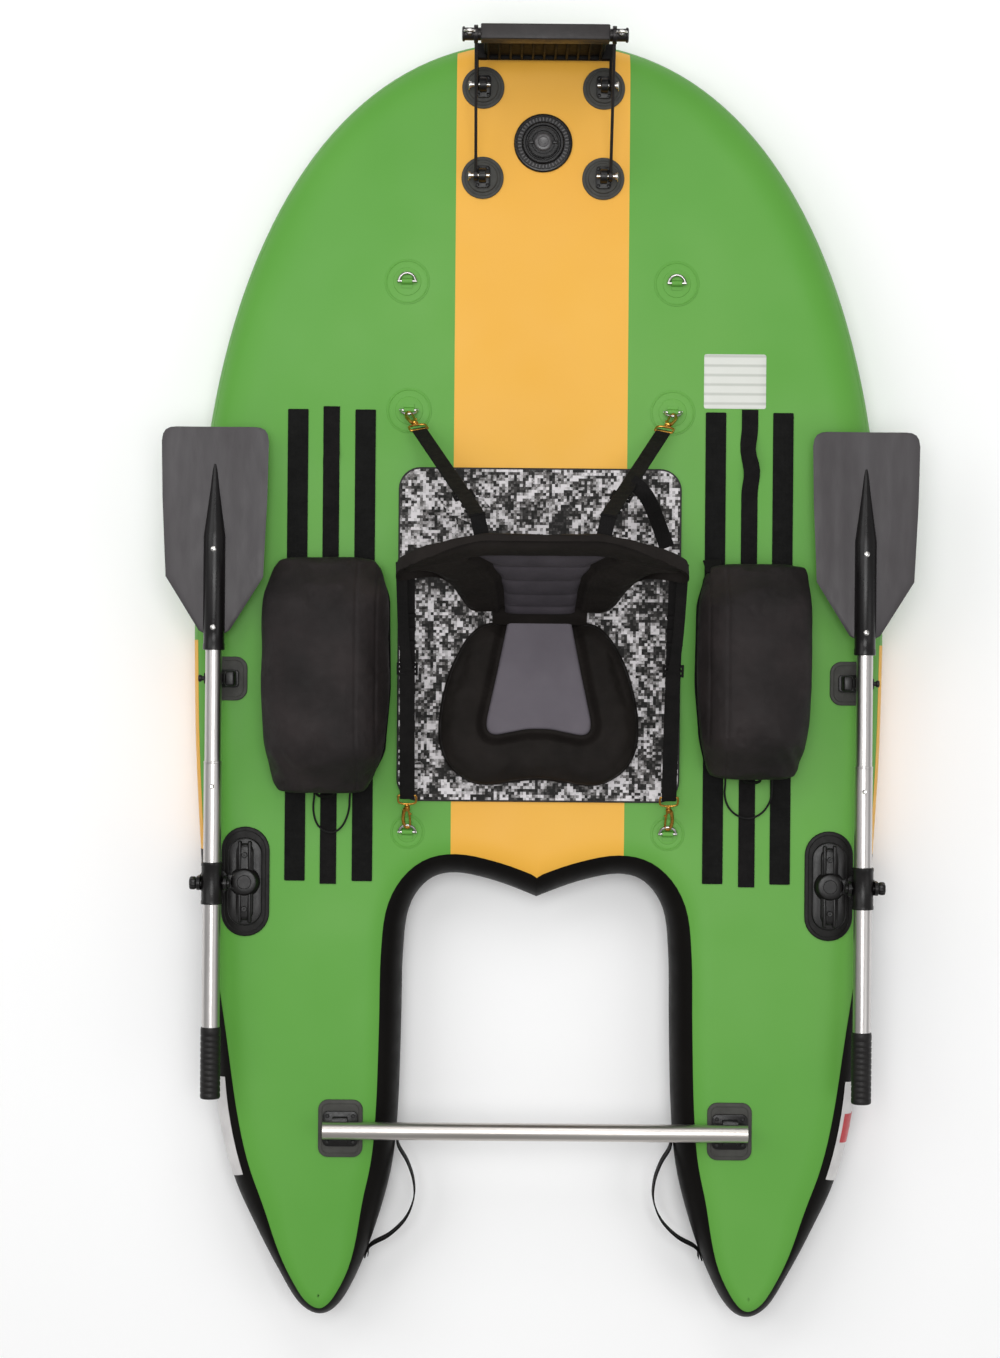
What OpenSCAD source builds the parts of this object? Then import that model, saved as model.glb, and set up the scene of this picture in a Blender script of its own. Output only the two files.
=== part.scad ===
// Inflatable drop-stitch float for one angler: a flat hull with a round bow and an open leg bay at the
// stern, a motor bracket on the bow, two rowing oars in swivel locks, a folding seat and two side bags.
// +Y is the bow, +X is starboard, +Z is up. The origin is on the resting plane, mid-length, on the centreline.

/* [Hull] */
// Overall length, bow tip to tail tips
hull_l = 2200; // [2150:5:2250]
// Overall width over the side walls
hull_w = 1190; // [1180:2:1200]
// Thickness of the inflated chamber
hull_t = 150; // [148:1:152]
// How far the side walls bulge out of the flat skins
rail_d = 36; // [34:1:38]
// Width of the contrasting stripe along the deck
stripe_w = 296; // [290:1:300]

/* [Seat] */
// Width of the foam deck pad under the seat
pad_w = 480; // [470:2:484]
// Length of the foam deck pad
pad_l = 567; // [560:1:570]
// Thickness of the seat base cushion
cushion_t = 45; // [43:1:46]
// Thickness of the backrest
back_t = 45; // [40:1:48]
// Slanted height of the backrest
back_h = 342; // [330:1:345]
// Recline of the backrest from upright, degrees
back_tilt = 22; // [21:0.5:23]

/* [Oars] */
// Distance of each oar from the centreline
oar_x = 550; // [548:1:552]
// Height of the oar axis above the deck
oar_rise = 46; // [46:0.5:47]
// Outer diameter of the grip half of the shaft
shaft_d = 30; // [29.8:0.1:30]
// Width of a blade
blade_w = 181; // [170:1:184]
// Length of a blade
blade_l = 350; // [340:1:355]

/* [Motor bracket] */
// Width of the clamping board
board_w = 204; // [200:1:204]
// Thickness of the clamping board
board_t = 26; // [25:0.5:27]
// Height of the clamping board
board_h = 154; // [150:1:158]
// Outer diameter of the bracket's cross tube
brace_d = 21; // [20:0.5:21]

/* [Crossbar] */
// Outer diameter of the crossbar
bar_d = 30; // [28:0.5:30]
// Length of the crossbar
bar_l = 722; // [716:1:726]

/* [Hidden] */

$fn = 48;
run_fit = 0.05; // radial clearance of a pin or a shaft in its bore
gap = 0.3;      // clearance between faces that slide past each other
cut = 1;        // overshoot of a cutting tool

// Hull outline at mid height, starboard half: a superellipse bow, then points joined by a spline.
bow_y = 60;      // where the bow curve meets the side
bow_power = 2.3; // squareness of the bow curve
bow_steps = 20;
curve_steps = 3;
mid_wall_points = 2; // spline spans covered by the middle side walls
half_l = hull_l / 2;
half_w = hull_w / 2;
stern_y = -half_l;
side_points = [
    [half_w, bow_y], [half_w - 4, -120], [half_w - 14, -300], [571, -450], [560, -600], [547, -746],
    [520, -862], [480, -950], [440, -1024], [405, stern_y + 20], [368, stern_y], [334, stern_y + 18],
    [300, -1020], [268, -930], [246, -840], [237, -740], [233, -600], [231, -480], [221, -400],
    [188, -352], [140, -338], [70, -352], [0, -378]
];
tip_start = -880; // the side walls get slimmer aft of this
tip_span = 160;
tip_share = 0.56;

deck_z = hull_t;
skin_t = 2;
valve_y = 912;
foot_x = 103;
foot_front_y = 1006;
foot_rear_y = 852;
foot_pad_t = 8;
foot_pin_z = deck_z + 24;
board_y = 1049;
board_z = deck_z + 15;
brace_y = board_y + 13;
brace_z = board_z + board_h - 23;
lug_x = foot_x + 8; // inner face of the bracket's arms and stays
lug_t = 7;
dring_r = 14;
dring_wire = 2.5;
dring_bar = 2 * (dring_r + dring_wire + 0.2);
patch_t = 2.5;
dring_z = deck_z + patch_t + 3.7;
dring_spots = [[230, 674], [225, 454], [222, -265]];
strip_t = 3;
pad_z = deck_z + 6;
seat_top = pad_z + cushion_t;
hinge_y = 97;
hinge_z = seat_top + 2;
oar_z = deck_z + oar_rise;
lock_y = -352;
rubber_t = 4;
bar_y = -772;
bar_z = deck_z + rubber_t + 21;
clip_x = 332;

// ---- functions ----
// Point on a spline span between b and c
function spline_point(a, b, c, d, t) =
    0.5 * (2 * b + (c - a) * t + (2 * a - 5 * b + 4 * c - d) * t * t + (3 * b - 3 * c + d - a) * t * t * t);
// Smooth open curve through points, n steps a span
function spline(p, n) = let (last = len(p) - 1) concat(
    [for (i = [0:last - 1], k = [0:n - 1])
        spline_point(p[max(i - 1, 0)], p[i], p[i + 1], p[min(i + 2, last)], k / n)],
    [p[last]]);
function ramp(t) = let (u = min(max(t, 0), 1)) u * u * (3 - 2 * u);
function flip(p) = [-p.x, p.y];
// A half outline from the axis round to the axis, closed by its mirror image
function both_sides(half) = concat(half, [for (i = [len(half) - 2:-1:1]) flip(half[i])]);
function unit(v) = v / norm(v);

bow_curve = [for (i = [0:bow_steps - 1]) let (a = 90 * i / bow_steps)
    [half_w * pow(sin(a), 2 / bow_power), bow_y + (half_l - bow_y) * pow(cos(a), 2 / bow_power)]];
outline = both_sides(concat(bow_curve, spline(side_points, curve_steps)));
rim_n = len(outline);
mid_i = bow_steps + mid_wall_points * curve_steps;
function rim(i) = outline[(i + rim_n) % rim_n];
// Unit vector into the hull at outline point i
function inward(i) = let (t = rim(i + 1) - rim(i - 1)) unit([t.y, -t.x]);
function rail_at(i) = rail_d * (1 - (1 - tip_share) * ramp((tip_start - rim(i).y) / tip_span));
flat_outline = [for (i = [0:rim_n - 1]) rim(i) + inward(i) * rail_at(i)];

// Cross-sections of the side wall as [share of the bulge, height, outward offset]
wall_step = 22.5;
wall_section = [for (a = [-90:wall_step:90]) [1 - cos(a), hull_t / 2 * (1 + sin(a)), 0]];
patch_section = concat(
    [for (a = [-15:15:60]) [1 - cos(a), hull_t / 2 * (1 + sin(a)), 1]],
    [for (a = [60:-15:-15]) [1 - cos(a), hull_t / 2 * (1 + sin(a)), 0.2]]);

// ---- shared shapes ----
// Solid of a closed section swept along the outline from point i0 to point i1
module rail_band(i0, i1, section) {
    k = len(section);
    rings = i1 - i0;
    polyhedron(
        points = [for (i = [i0:i1], s = section) let (p = rim(i) + inward(i) * (rail_at(i) * s[0] - s[2]))
            [p.x, p.y, s[1]]],
        faces = concat(
            [for (r = [0:rings - 1], j = [0:k - 1], f = [0, 1]) let (a = r * k, b = a + k, n = (j + 1) % k)
                f == 0 ? [a + j, b + j, b + n] : [a + j, b + n, a + n]],
            [[for (j = [0:k - 1]) j], [for (j = [k - 1:-1:0]) rings * k + j]]),
        convexity = 10);
}

// Round tube of radius r swept along a route
module swept_tube(route, r, sides) {
    last = len(route) - 1;
    function tangent(i) = unit(route[min(i + 1, last)] - route[max(i - 1, 0)]);
    polyhedron(
        points = [for (i = [0:last]) let (t = tangent(i), u = unit(cross(t, [0.13, 0.21, 1])), v = cross(t, u))
            for (k = [0:sides - 1]) route[i] + r * (cos(360 * k / sides) * u + sin(360 * k / sides) * v)],
        faces = concat(
            [for (i = [0:last - 1], k = [0:sides - 1], f = [0, 1])
                let (a = i * sides, b = a + sides, n = (k + 1) % sides)
                f == 0 ? [a + k, b + k, b + n] : [a + k, b + n, a + n]],
            [[for (k = [0:sides - 1]) k], [for (k = [sides - 1:-1:0]) last * sides + k]]),
        convexity = 6);
}

// Flat shape with round corners, extruded
module rounded_plate(w, l, h, r) {
    linear_extrude(h) {
        square([w - 2 * r, l], center = true);
        if (l > 2 * r) square([w, l - 2 * r], center = true);
        for (x = [-1, 1], y = [-1, 1]) translate([x * (w / 2 - r), y * (l / 2 - r)]) circle(r);
    }
}

// Places children with their +Z from point a towards point b and their Y level
module towards(a, b) {
    d = b - a;
    translate(a) rotate([0, acos(d.z / norm(d)), atan2(d.y, d.x)]) children();
}

// Flat webbing from a to b
module webbing(a, b, w, t) {
    towards(a, b) translate([-t / 2, -w / 2, 0]) cube([t, w, norm(b - a)]);
}

// Cylinder along +X or +Y from the current place
module along_x(r, l) { rotate([0, 90, 0]) cylinder(r = r, h = l); }
module along_y(r, l) { rotate([-90, 0, 0]) cylinder(r = r, h = l); }
module ring(big, small) { rotate_extrude() translate([big, 0]) circle(small, $fn = 16); }
module both_halves() { children(); mirror([1, 0, 0]) children(); }
// Children once, on the side s: -1 is port, 1 is starboard
module on_side(s) { mirror([s < 0 ? 1 : 0, 0, 0]) children(); }

// ---- hull ----
module flat_layer(z, h) { translate([0, 0, z]) linear_extrude(h, convexity = 8) polygon(flat_outline); }
module stripe_box(z, h, w) { translate([-w / 2, -half_l, z]) cube([w, hull_l, h]); }
valve_neck_r = 27;
module valve_hole(z, h) { translate([0, valve_y, z]) cylinder(r = valve_neck_r, h = h); }

module drop_stitch_core() {
    color("whitesmoke") difference() {
        flat_layer(skin_t, hull_t - 2 * skin_t);
        valve_hole(deck_z - 70, 70);
    }
}
module lower_skin() { color("darkolivegreen") flat_layer(0, skin_t); }
module upper_skin() {
    color("limegreen") difference() {
        flat_layer(deck_z - skin_t, skin_t);
        stripe_box(deck_z - skin_t - cut, skin_t + 2 * cut, stripe_w);
    }
}
module deck_stripe() {
    color("goldenrod") difference() {
        intersection() {
            flat_layer(deck_z - skin_t, skin_t);
            stripe_box(deck_z - skin_t - cut, skin_t + 2 * cut, stripe_w);
        }
        valve_hole(deck_z - skin_t - cut, skin_t + 2 * cut);
    }
}
module side_wall_bow() { color("limegreen") rail_band(-bow_steps, bow_steps, wall_section); }
module side_wall_right() { color("goldenrod") rail_band(bow_steps, mid_i, wall_section); }
module side_wall_left() { color("goldenrod") rail_band(rim_n - mid_i, rim_n - bow_steps, wall_section); }
module side_wall_stern() { color("black") rail_band(mid_i, rim_n - mid_i, wall_section); }

// Plain colour patches on the tails and one plain label on the deck
patch_i = [bow_steps + 4 * curve_steps + 1, bow_steps + 7 * curve_steps];
label_at = [331, 508];
label_size = [106, 93];
module trim_patches() {
    color("white") {
        rail_band(patch_i[0], patch_i[1], patch_section);
        rail_band(rim_n - patch_i[1], rim_n - patch_i[0], patch_section);
        translate([label_at.x, label_at.y, deck_z]) rounded_plate(label_size.x, label_size.y, 0.8, 4);
    }
}

// ---- valve ----
valve_bore_r = 21;
valve_floor = deck_z - 50;
stem_r = 3;
// Half-section of the flange and neck as [radius, height over the deck]
valve_profile = [
    [valve_bore_r, valve_floor - deck_z], [valve_neck_r, valve_floor - deck_z], [valve_neck_r, 0], [50, 0],
    [50, 3], [48, 4.5], [45, 4.5], [43.5, 3.5], [41.5, 3.5], [40, 5.2], [37, 5.2], [35.5, 4.2], [33.5, 4.2],
    [32, 7], [valve_bore_r, 7]
];
module valve_body() {
    color("dimgray") translate([0, valve_y, 0]) {
        translate([0, 0, deck_z]) rotate_extrude() polygon(valve_profile);
        translate([0, 0, valve_floor + 10]) difference() {
            union() {
                for (a = [0:60:120]) rotate(a) translate([-valve_bore_r - 2, -2, 0])
                    cube([2 * valve_bore_r + 4, 4, 4]);
                cylinder(r = 7, h = 4);
            }
            translate([0, 0, -cut]) cylinder(r = stem_r + run_fit, h = 4 + 2 * cut);
        }
    }
}
module valve_poppet() {
    color("black") translate([0, valve_y, 0]) {
        translate([0, 0, valve_floor - 4]) cylinder(r = 24, h = 4 - 0.1);
        translate([0, 0, valve_floor - 4]) cylinder(r = stem_r, h = 46);
        translate([0, 0, valve_floor + 40]) cylinder(r = 8, h = 4);
    }
}
spring_turns = 5;
spring_steps = 12;
module valve_spring() {
    z0 = valve_floor + 15.2;
    rise = 23.6;
    color("silver") swept_tube(
        [for (i = [0:spring_turns * spring_steps]) let (a = 360 * i / spring_steps)
            [5.2 * cos(a), valve_y + 5.2 * sin(a), z0 + rise * i / (spring_turns * spring_steps)]], 0.8, 6);
}
module valve_cap() {
    color("black") translate([0, valve_y, 0]) {
        translate([0, 0, deck_z - 3]) cylinder(r = valve_bore_r - run_fit, h = 11);
        translate([0, 0, deck_z + 7 + gap]) cylinder(r = 26, h = 4);
        translate([0, 0, deck_z + 11]) cylinder(r = 11, h = 5);
        for (a = [0, 180]) rotate(a) translate([9, -3, deck_z + 11]) cube([15, 6, 4]);
    }
}

// ---- motor bracket on the bow ----
foot_spots = [[foot_x, foot_front_y], [foot_x, foot_rear_y]];
module mount_pads() {
    color("black") both_halves() for (p = foot_spots) translate([p.x, p.y, deck_z]) {
        cylinder(r = 36, h = 4);
        cylinder(r = 26, h = foot_pad_t);
    }
}
module mount_feet() {
    base_z = deck_z + foot_pad_t;
    color("dimgray") both_halves() for (p = foot_spots) translate([p.x, p.y, 0]) difference() {
        union() {
            translate([-13, -19, base_z]) cube([26, 38, 6]);
            translate([-6, -11, base_z]) cube([12, 22, foot_pin_z - base_z]);
            translate([-6, 0, foot_pin_z]) along_x(11, 12);
        }
        translate([-6 - cut, 0, foot_pin_z]) along_x(stem_r + run_fit, 12 + 2 * cut);
    }
}
// Lug plate with an eye at p, in the YZ plane
module eye(p, r_out, r_in) {
    translate([lug_x, p.y, p.z]) difference() {
        along_x(r_out, lug_t);
        translate([-cut, 0, 0]) along_x(r_in, lug_t + 2 * cut);
    }
}
rib_n = 10;
rib_pitch = 19;
module mount_board() {
    arm_l = board_y - foot_front_y + 6;
    color("darkslategray") {
        difference() {
            translate([-board_w / 2, board_y, board_z]) cube([board_w, board_t, board_h]);
            for (i = [0:rib_n - 1])
                translate([(i - (rib_n - 1) / 2) * rib_pitch - 6, board_y - cut, board_z + 10])
                    cube([12, 4 + cut, board_h - 50]);
            translate([-board_w / 2 - cut, brace_y, brace_z]) along_x(brace_d / 2 + run_fit, board_w + 2 * cut);
        }
        both_halves() difference() {
            union() {
                translate([lug_x, foot_front_y, foot_pin_z]) along_x(9, lug_t);
                translate([lug_x, foot_front_y, foot_pin_z - 9]) cube([lug_t, arm_l, 18]);
                translate([board_w / 2 - cut, board_y, foot_pin_z - 9])
                    cube([lug_x + lug_t - board_w / 2 + cut, board_t, 18]);
            }
            translate([lug_x - cut, foot_front_y, foot_pin_z]) along_x(stem_r + run_fit, lug_t + 2 * cut);
        }
    }
}
brace_l = 268;
module mount_tube() {
    color("gray") difference() {
        translate([-brace_l / 2, brace_y, brace_z]) along_x(brace_d / 2, brace_l);
        translate([-brace_l / 2 - cut, brace_y, brace_z]) along_x(brace_d / 2 - 2, brace_l + 2 * cut);
        for (s = [-1, 1]) translate([s * knob_x, brace_y, brace_z]) cylinder(r = stem_r + run_fit, h = brace_d);
    }
}
module mount_stays() {
    top = [lug_x + lug_t / 2, brace_y, brace_z];
    low = [lug_x + lug_t / 2, foot_rear_y, foot_pin_z];
    d = unit(top - low);
    color("black") both_halves() difference() {
        union() {
            eye(top, 15, brace_d / 2 + run_fit);
            eye(low, 9, stem_r + run_fit);
            towards(low + 7 * d, top) cylinder(r = 3.4, h = norm(top - low) - 7 - 12);
        }
        translate([lug_x - cut, low.y, low.z]) along_x(stem_r + run_fit, lug_t + 2 * cut);
        translate([lug_x - cut, top.y, top.z]) along_x(brace_d / 2 + run_fit, lug_t + 2 * cut);
    }
}
module mount_pin(s, y) {
    color("silver") on_side(s) translate([foot_x - 12, y, foot_pin_z]) {
        along_x(stem_r, 32);
        translate([32, 0, 0]) along_x(5.5, 3);
        translate([35, 0, 0]) ring_pull();
    }
}
// Pull ring on the head of a bracket pin
module ring_pull() { translate([0.5, 0, -7.5]) rotate([0, 90, 0]) ring(7, 1.2); }
module mount_pin_front_left() { mount_pin(-1, foot_front_y); }
module mount_pin_front_right() { mount_pin(1, foot_front_y); }
module mount_pin_rear_left() { mount_pin(-1, foot_rear_y); }
module mount_pin_rear_right() { mount_pin(1, foot_rear_y); }
knob_x = 125;
module clamp_knob(s) {
    color("gray") on_side(s) translate([knob_x, brace_y, brace_z]) {
        translate([0, 0, 2]) cylinder(r = stem_r, h = brace_d / 2 + 6);
        translate([0, 0, brace_d / 2 + 1]) cylinder(r = 5, h = 9);
        translate([-9, -1.5, brace_d / 2 + 5.5]) cube([18, 3, 13]);
    }
}
module clamp_knob_left() { clamp_knob(-1); }
module clamp_knob_right() { clamp_knob(1); }

// ---- D-rings ----
module patch_and_loop(p) {
    translate([p.x, p.y, deck_z]) {
        cylinder(r = p.y < 0 ? 29 : 38.5, h = patch_t);
        difference() {
            translate([-9, -4.2, 0]) cube([18, 8.4, patch_t + 8]);
            translate([-9 - cut, 0, dring_z - deck_z]) along_x(dring_wire + 0.08, 18 + 2 * cut);
        }
    }
}
module dring_patches() { color("forestgreen") both_halves() for (p = dring_spots) patch_and_loop(p); }
// D-ring hinged on its straight bar, turned up from flat by `lift` degrees
module dring(p, lift) {
    translate([p.x, p.y, dring_z]) rotate([lift, 0, 0]) {
        translate([-dring_bar / 2, 0, 0]) along_x(dring_wire, dring_bar);
        rotate_extrude(angle = 180) translate([dring_r, 0]) circle(dring_wire - 0.2, $fn = 24);
    }
}
module dring_front_left() { color("silver") mirror([1, 0, 0]) dring(dring_spots[0], 0); }
module dring_front_right() { color("silver") dring(dring_spots[0], 0); }

// Where each strap leaves its ring and where it meets the backrest, starboard side
back_dir = [0, sin(back_tilt), cos(back_tilt)];
back_out = [0, -cos(back_tilt), sin(back_tilt)];
hinge = [0, hinge_y, hinge_z];
front_hold = hinge + [105, 0, 0] + 300 * back_dir - (back_t + 9) * back_out;
side_hold = hinge + [216, 0, 0] + 247 * back_dir + 2.5 * back_out;
function bar_point(p) = [p.x, p.y, dring_z];
function lift_of(p, q) = let (d = q - bar_point(p)) atan2(d.z, d.y);
function ring_tip(p, q) = let (a = lift_of(p, q)) bar_point(p) + dring_r * [0, cos(a), sin(a)];
hook_l = 61.4;
function strap_start(p, q) = ring_tip(p, q) + hook_l * unit(q - ring_tip(p, q));
module seat_drings() {
    color("silver") both_halves() {
        dring(dring_spots[1], lift_of(dring_spots[1], front_hold));
        dring(dring_spots[2], lift_of(dring_spots[2], side_hold));
    }
}
module snap_hook(p, q) {
    tip = ring_tip(p, q);
    translate(tip) rotate([0, 90, 0]) ring(5.5, 2);
    towards(tip, q) {
        translate([0, 0, 6]) cylinder(r = 4, h = 34);
        difference() {
            translate([-2, -16, 39]) cube([4, 32, 22]);
            translate([-2 - cut, -13.5, 46]) cube([4 + 2 * cut, 27, 12]);
        }
    }
}
module snap_hooks() {
    color("gold") both_halves() {
        snap_hook(dring_spots[1], front_hold);
        snap_hook(dring_spots[2], side_hold);
    }
}

// ---- seat ----
web_w = 25;
web_t = 2;
module front_straps() {
    color("black") both_halves() webbing(strap_start(dring_spots[1], front_hold), front_hold, web_w, web_t);
}
module side_straps() {
    color("black") both_halves() webbing(strap_start(dring_spots[2], side_hold), side_hold, web_w, web_t);
}
pad_y = 72.5;
module seat_pad() { color("lightgray") translate([0, pad_y, deck_z]) rounded_plate(pad_w, pad_l, pad_z - deck_z, 36); }
base_points = [
    [0, 92], [70, 93], [108, 84], [132, 48], [154, 0], [170, -60], [168, -118], [140, -160], [80, -180], [0, -180]
];
module seat_base() {
    color("dimgray") translate([0, 0, pad_z]) linear_extrude(cushion_t) polygon(both_sides(spline(base_points, 4)));
}
back_points = [
    [0, 10], [84, 10], [112, 24], [150, 96], [200, 165], [236, 215], [240, 285],
    [226, back_h - 16], [150, back_h], [0, back_h]
];
module seat_back() {
    color("dimgray") translate(hinge) rotate([90 - back_tilt, 0, 0]) translate([0, 0, -back_t])
        linear_extrude(back_t) polygon(both_sides(spline(back_points, 3)));
}

// ---- side bags and the strips that hold them ----
strip_z = deck_z;
hook_w = 35;
hook_x = [299, 414];
strap_x = 357;
strip_y = [-350, 455];
module hook_strips() {
    color("black") both_halves() for (x = hook_x)
        translate([x - hook_w / 2, strip_y[0], strip_z]) cube([hook_w, strip_y[1] - strip_y[0], strip_t]);
}
module bag_straps() {
    color("black") both_halves()
        translate([strap_x - 14, strip_y[0] - 5, strip_z]) cube([28, strip_y[1] - strip_y[0] + 10, strip_t]);
}
bag_foot = deck_z + strip_t + 0.2;
// Barrel-shaped bag, w across, from y0 to y1, h tall
module bag(x, w, y0, y1, h) {
    a = w / 2;
    m = (y0 + y1) / 2;
    plan = [[0, y1], [0.55 * a, y1 - 1], [0.8 * a, y1 - 20], [0.96 * a, m + 60], [a, m - 30],
        [0.93 * a, y0 + 50], [0.76 * a, y0 + 10], [0.5 * a, y0], [0, y0]];
    section = [[0, h], [0.5 * a, 0.97 * h], [0.82 * a, 0.84 * h], [0.98 * a, 0.6 * h], [a, 0.35 * h],
        [0.96 * a, 0.08 * h], [0.9 * a, 0], [0, 0]];
    translate([x, 0, bag_foot]) intersection() {
        linear_extrude(h) polygon(both_sides(spline(plan, 3)));
        translate([0, y1, 0]) rotate([90, 0, 0]) linear_extrude(y1 - y0) polygon(both_sides(spline(section, 3)));
    }
}
module bag_left() { color("black") bag(-360, 218, -196, 198, 136); }
module bag_right() { color("black") bag(361, 194, -167, 192, 136); }

// Draw cords of the bags: loops lying on the deck behind them
cord_r = 1.75;
cord_left_points = [
    [-379, -197, 176], [-380, -208, 172], [-382, -222, 162], [-381, -238, 155.5], [-375, -254, 155.2],
    [-362, -265, 155.2], [-346, -266, 155.2], [-333, -256, 155.2], [-325, -240, 155.2], [-321, -224, 160],
    [-320, -210, 168], [-319, -197, 172]
];
cord_right_points = [
    [318, -168, 176], [318, -180, 172], [318, -196, 162], [323, -214, 155.5], [334, -228, 155.2],
    [350, -236, 155.2], [367, -236, 155.2], [383, -227, 155.2], [394, -212, 155.5], [398, -196, 162],
    [398, -180, 170], [397, -168, 174]
];
module bag_cord_left() { color("black") swept_tube(spline(cord_left_points, 4), cord_r, 8); }
module bag_cord_right() { color("black") swept_tube(spline(cord_right_points, 4), cord_r, 8); }

// ---- fittings on the deck ----
rest_x = 533;
rest_y = -6;
lock_pad_x = 498;
module deck_pads() {
    color("black") both_halves() translate([0, 0, deck_z]) {
        translate([lock_pad_x, lock_y, 0]) rounded_plate(83, 187, rubber_t, 41);
        translate([rest_x, rest_y, 0]) rounded_plate(72, 75, rubber_t, 20);
        translate([clip_x, bar_y, 0]) rounded_plate(76, 98, rubber_t, 17);
    }
}
module oar_rests() {
    saddle_z = oar_z - shaft_d / 2 + 1 - gap;
    color("black") both_halves() difference() {
        union() {
            translate([rest_x - 18, rest_y - 9, deck_z + rubber_t]) cube([46, 18, saddle_z - deck_z - rubber_t - 7]);
            translate([rest_x - 18, rest_y - 14, deck_z + rubber_t]) cube([19, 28, 38]);
            translate([oar_x - 20, rest_y - 9, deck_z + 12]) cube([46, 18, saddle_z - deck_z - 12]);
        }
        translate([oar_x, rest_y - 20, oar_z]) along_y(shaft_d / 2 - 1 + gap, 40);
    }
}
post_r = 6;
lock_top = deck_z + 16;
module oarlock_bases() {
    z0 = deck_z + rubber_t;
    color("black") both_halves() difference() {
        union() {
            translate([lock_pad_x, lock_y, z0]) rounded_plate(58, 150, 5, 28);
            translate([lock_pad_x, lock_y, z0]) cylinder(r1 = 27, r2 = 20, h = 19);
            for (y = [-46, 46]) translate([lock_pad_x, lock_y + y, z0]) cylinder(r = 9, h = 8);
            translate([lock_pad_x, lock_y - 13, z0]) cube([oar_x - lock_pad_x, 26, lock_top - z0]);
            translate([oar_x, lock_y, z0]) cylinder(r = 13, h = lock_top - z0);
        }
        translate([oar_x, lock_y, z0 - cut]) cylinder(r = post_r + run_fit, h = 40);
        translate([oar_x, lock_y, lock_top]) cylinder(r = 29.5, h = 40);
    }
}
ear_gap = 19.5;
ear_t = 6;
pin_r = 4;
module oarlock(s) {
    color("black") on_side(s) translate([oar_x, lock_y, 0]) difference() {
        union() {
            translate([0, 0, deck_z + rubber_t]) cylinder(r = post_r, h = 14);
            translate([0, 0, lock_top + gap]) cylinder(r = 26, h = 3.5);
            for (x = [-ear_gap - ear_t, ear_gap]) {
                translate([x, -12, lock_top + gap]) cube([ear_t, 24, oar_z - lock_top - gap]);
                translate([x, 0, oar_z]) along_x(12, ear_t);
            }
        }
        translate([-ear_gap - ear_t - cut, 0, oar_z]) along_x(pin_r + run_fit, 2 * (ear_gap + ear_t + cut));
    }
}
module oarlock_left() { oarlock(-1); }
module oarlock_right() { oarlock(1); }
module oar_knob(s) {
    color("dimgray") on_side(s) translate([oar_x, lock_y, oar_z]) {
        translate([-ear_gap - ear_t - 4, 0, 0]) along_x(pin_r, 2 * (ear_gap + ear_t) + 5);
        translate([-ear_gap - ear_t - 5, 0, 0]) along_x(7, 5 - gap);
        translate([ear_gap + ear_t + gap, 0, 0]) along_x(11, 12);
    }
}
module oar_knob_left() { oar_knob(-1); }
module oar_knob_right() { oar_knob(1); }

// ---- oars ----
inner_d = 28;
wall = 1.5;
blade_top = 419;
socket_y = 42;
shaft_top = 232;
lap = [-240, -149];
shaft_end = -712;
grip_y = -716;
grip_l = 121;
button_y = -188;
button_r = 4;
module along_oar(s) { on_side(s) translate([oar_x, 0, oar_z]) children(); }
module pipe(y0, y1, r_out, r_in) {
    translate([0, y0, 0]) difference() {
        along_y(r_out, y1 - y0);
        translate([0, -cut, 0]) along_y(r_in, y1 - y0 + 2 * cut);
    }
}
module button_hole() { translate([0, button_y, 0]) cylinder(r = button_r + run_fit, h = shaft_d); }
module cross_hole() { translate([-shaft_d, lock_y, 0]) along_x(pin_r + run_fit, 2 * shaft_d); }
sleeve_l = 71;
module oar_shaft(s) {
    r = shaft_d / 2;
    color("silver") along_oar(s) {
        difference() {
            pipe(lap[0], shaft_top, inner_d / 2, inner_d / 2 - wall);
            button_hole();
        }
        difference() {
            union() {
                pipe(shaft_end, lap[1], r, inner_d / 2 + run_fit);
                pipe(lock_y - sleeve_l / 2, lock_y + sleeve_l / 2, r + 3.5, r - 0.5);
            }
            button_hole();
            cross_hole();
        }
    }
}
module oar_shaft_left() { oar_shaft(-1); }
module oar_shaft_right() { oar_shaft(1); }
blade_t = 5;
spine_r = 18.5;
module oar_blade(s) {
    w = blade_w / 2;
    y0 = blade_top - blade_l;
    half = [[0, blade_top], [w - 24, blade_top], [w - 7, blade_top - 7], [w, blade_top - 24],
        [w - 2, 300], [w - 8, 166], [26, y0 + 6], [16, y0], [0, y0]];
    color("dimgray") along_oar(s) difference() {
        union() {
            translate([0, 0, -blade_t / 2]) linear_extrude(blade_t) polygon(both_sides(half));
            translate([0, socket_y, 0]) along_y(spine_r, 196);
            translate([0, socket_y + 196, 0]) rotate([-90, 0, 0]) cylinder(r1 = spine_r, r2 = 4, h = 118);
        }
        translate([0, socket_y - cut, 0]) along_y(inner_d / 2 + run_fit, shaft_top - socket_y + cut);
        for (y = rivet_y) translate([0, y, 0]) cylinder(r = rivet_r, h = spine_r + cut);
    }
}
module oar_blade_left() { oar_blade(-1); }
module oar_blade_right() { oar_blade(1); }
rivet_y = [80, 212];
rivet_r = 2.5;
module oar_rivets(s) {
    color("silver") along_oar(s) for (y = rivet_y) translate([0, y, 0]) {
        translate([0, 0, inner_d / 2 + 0.3]) cylinder(r = rivet_r, h = spine_r - inner_d / 2);
        translate([0, 0, spine_r]) cylinder(r1 = 4.6, r2 = 3, h = 1.6);
    }
}
module oar_rivets_left() { oar_rivets(-1); }
module oar_rivets_right() { oar_rivets(1); }
module oar_grip(s) {
    r = shaft_d / 2;
    color("black") along_oar(s) difference() {
        translate([0, grip_y, 0]) along_y(r + 2, grip_l);
        translate([0, shaft_end, 0]) along_y(r, grip_l + cut);
    }
}
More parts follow.
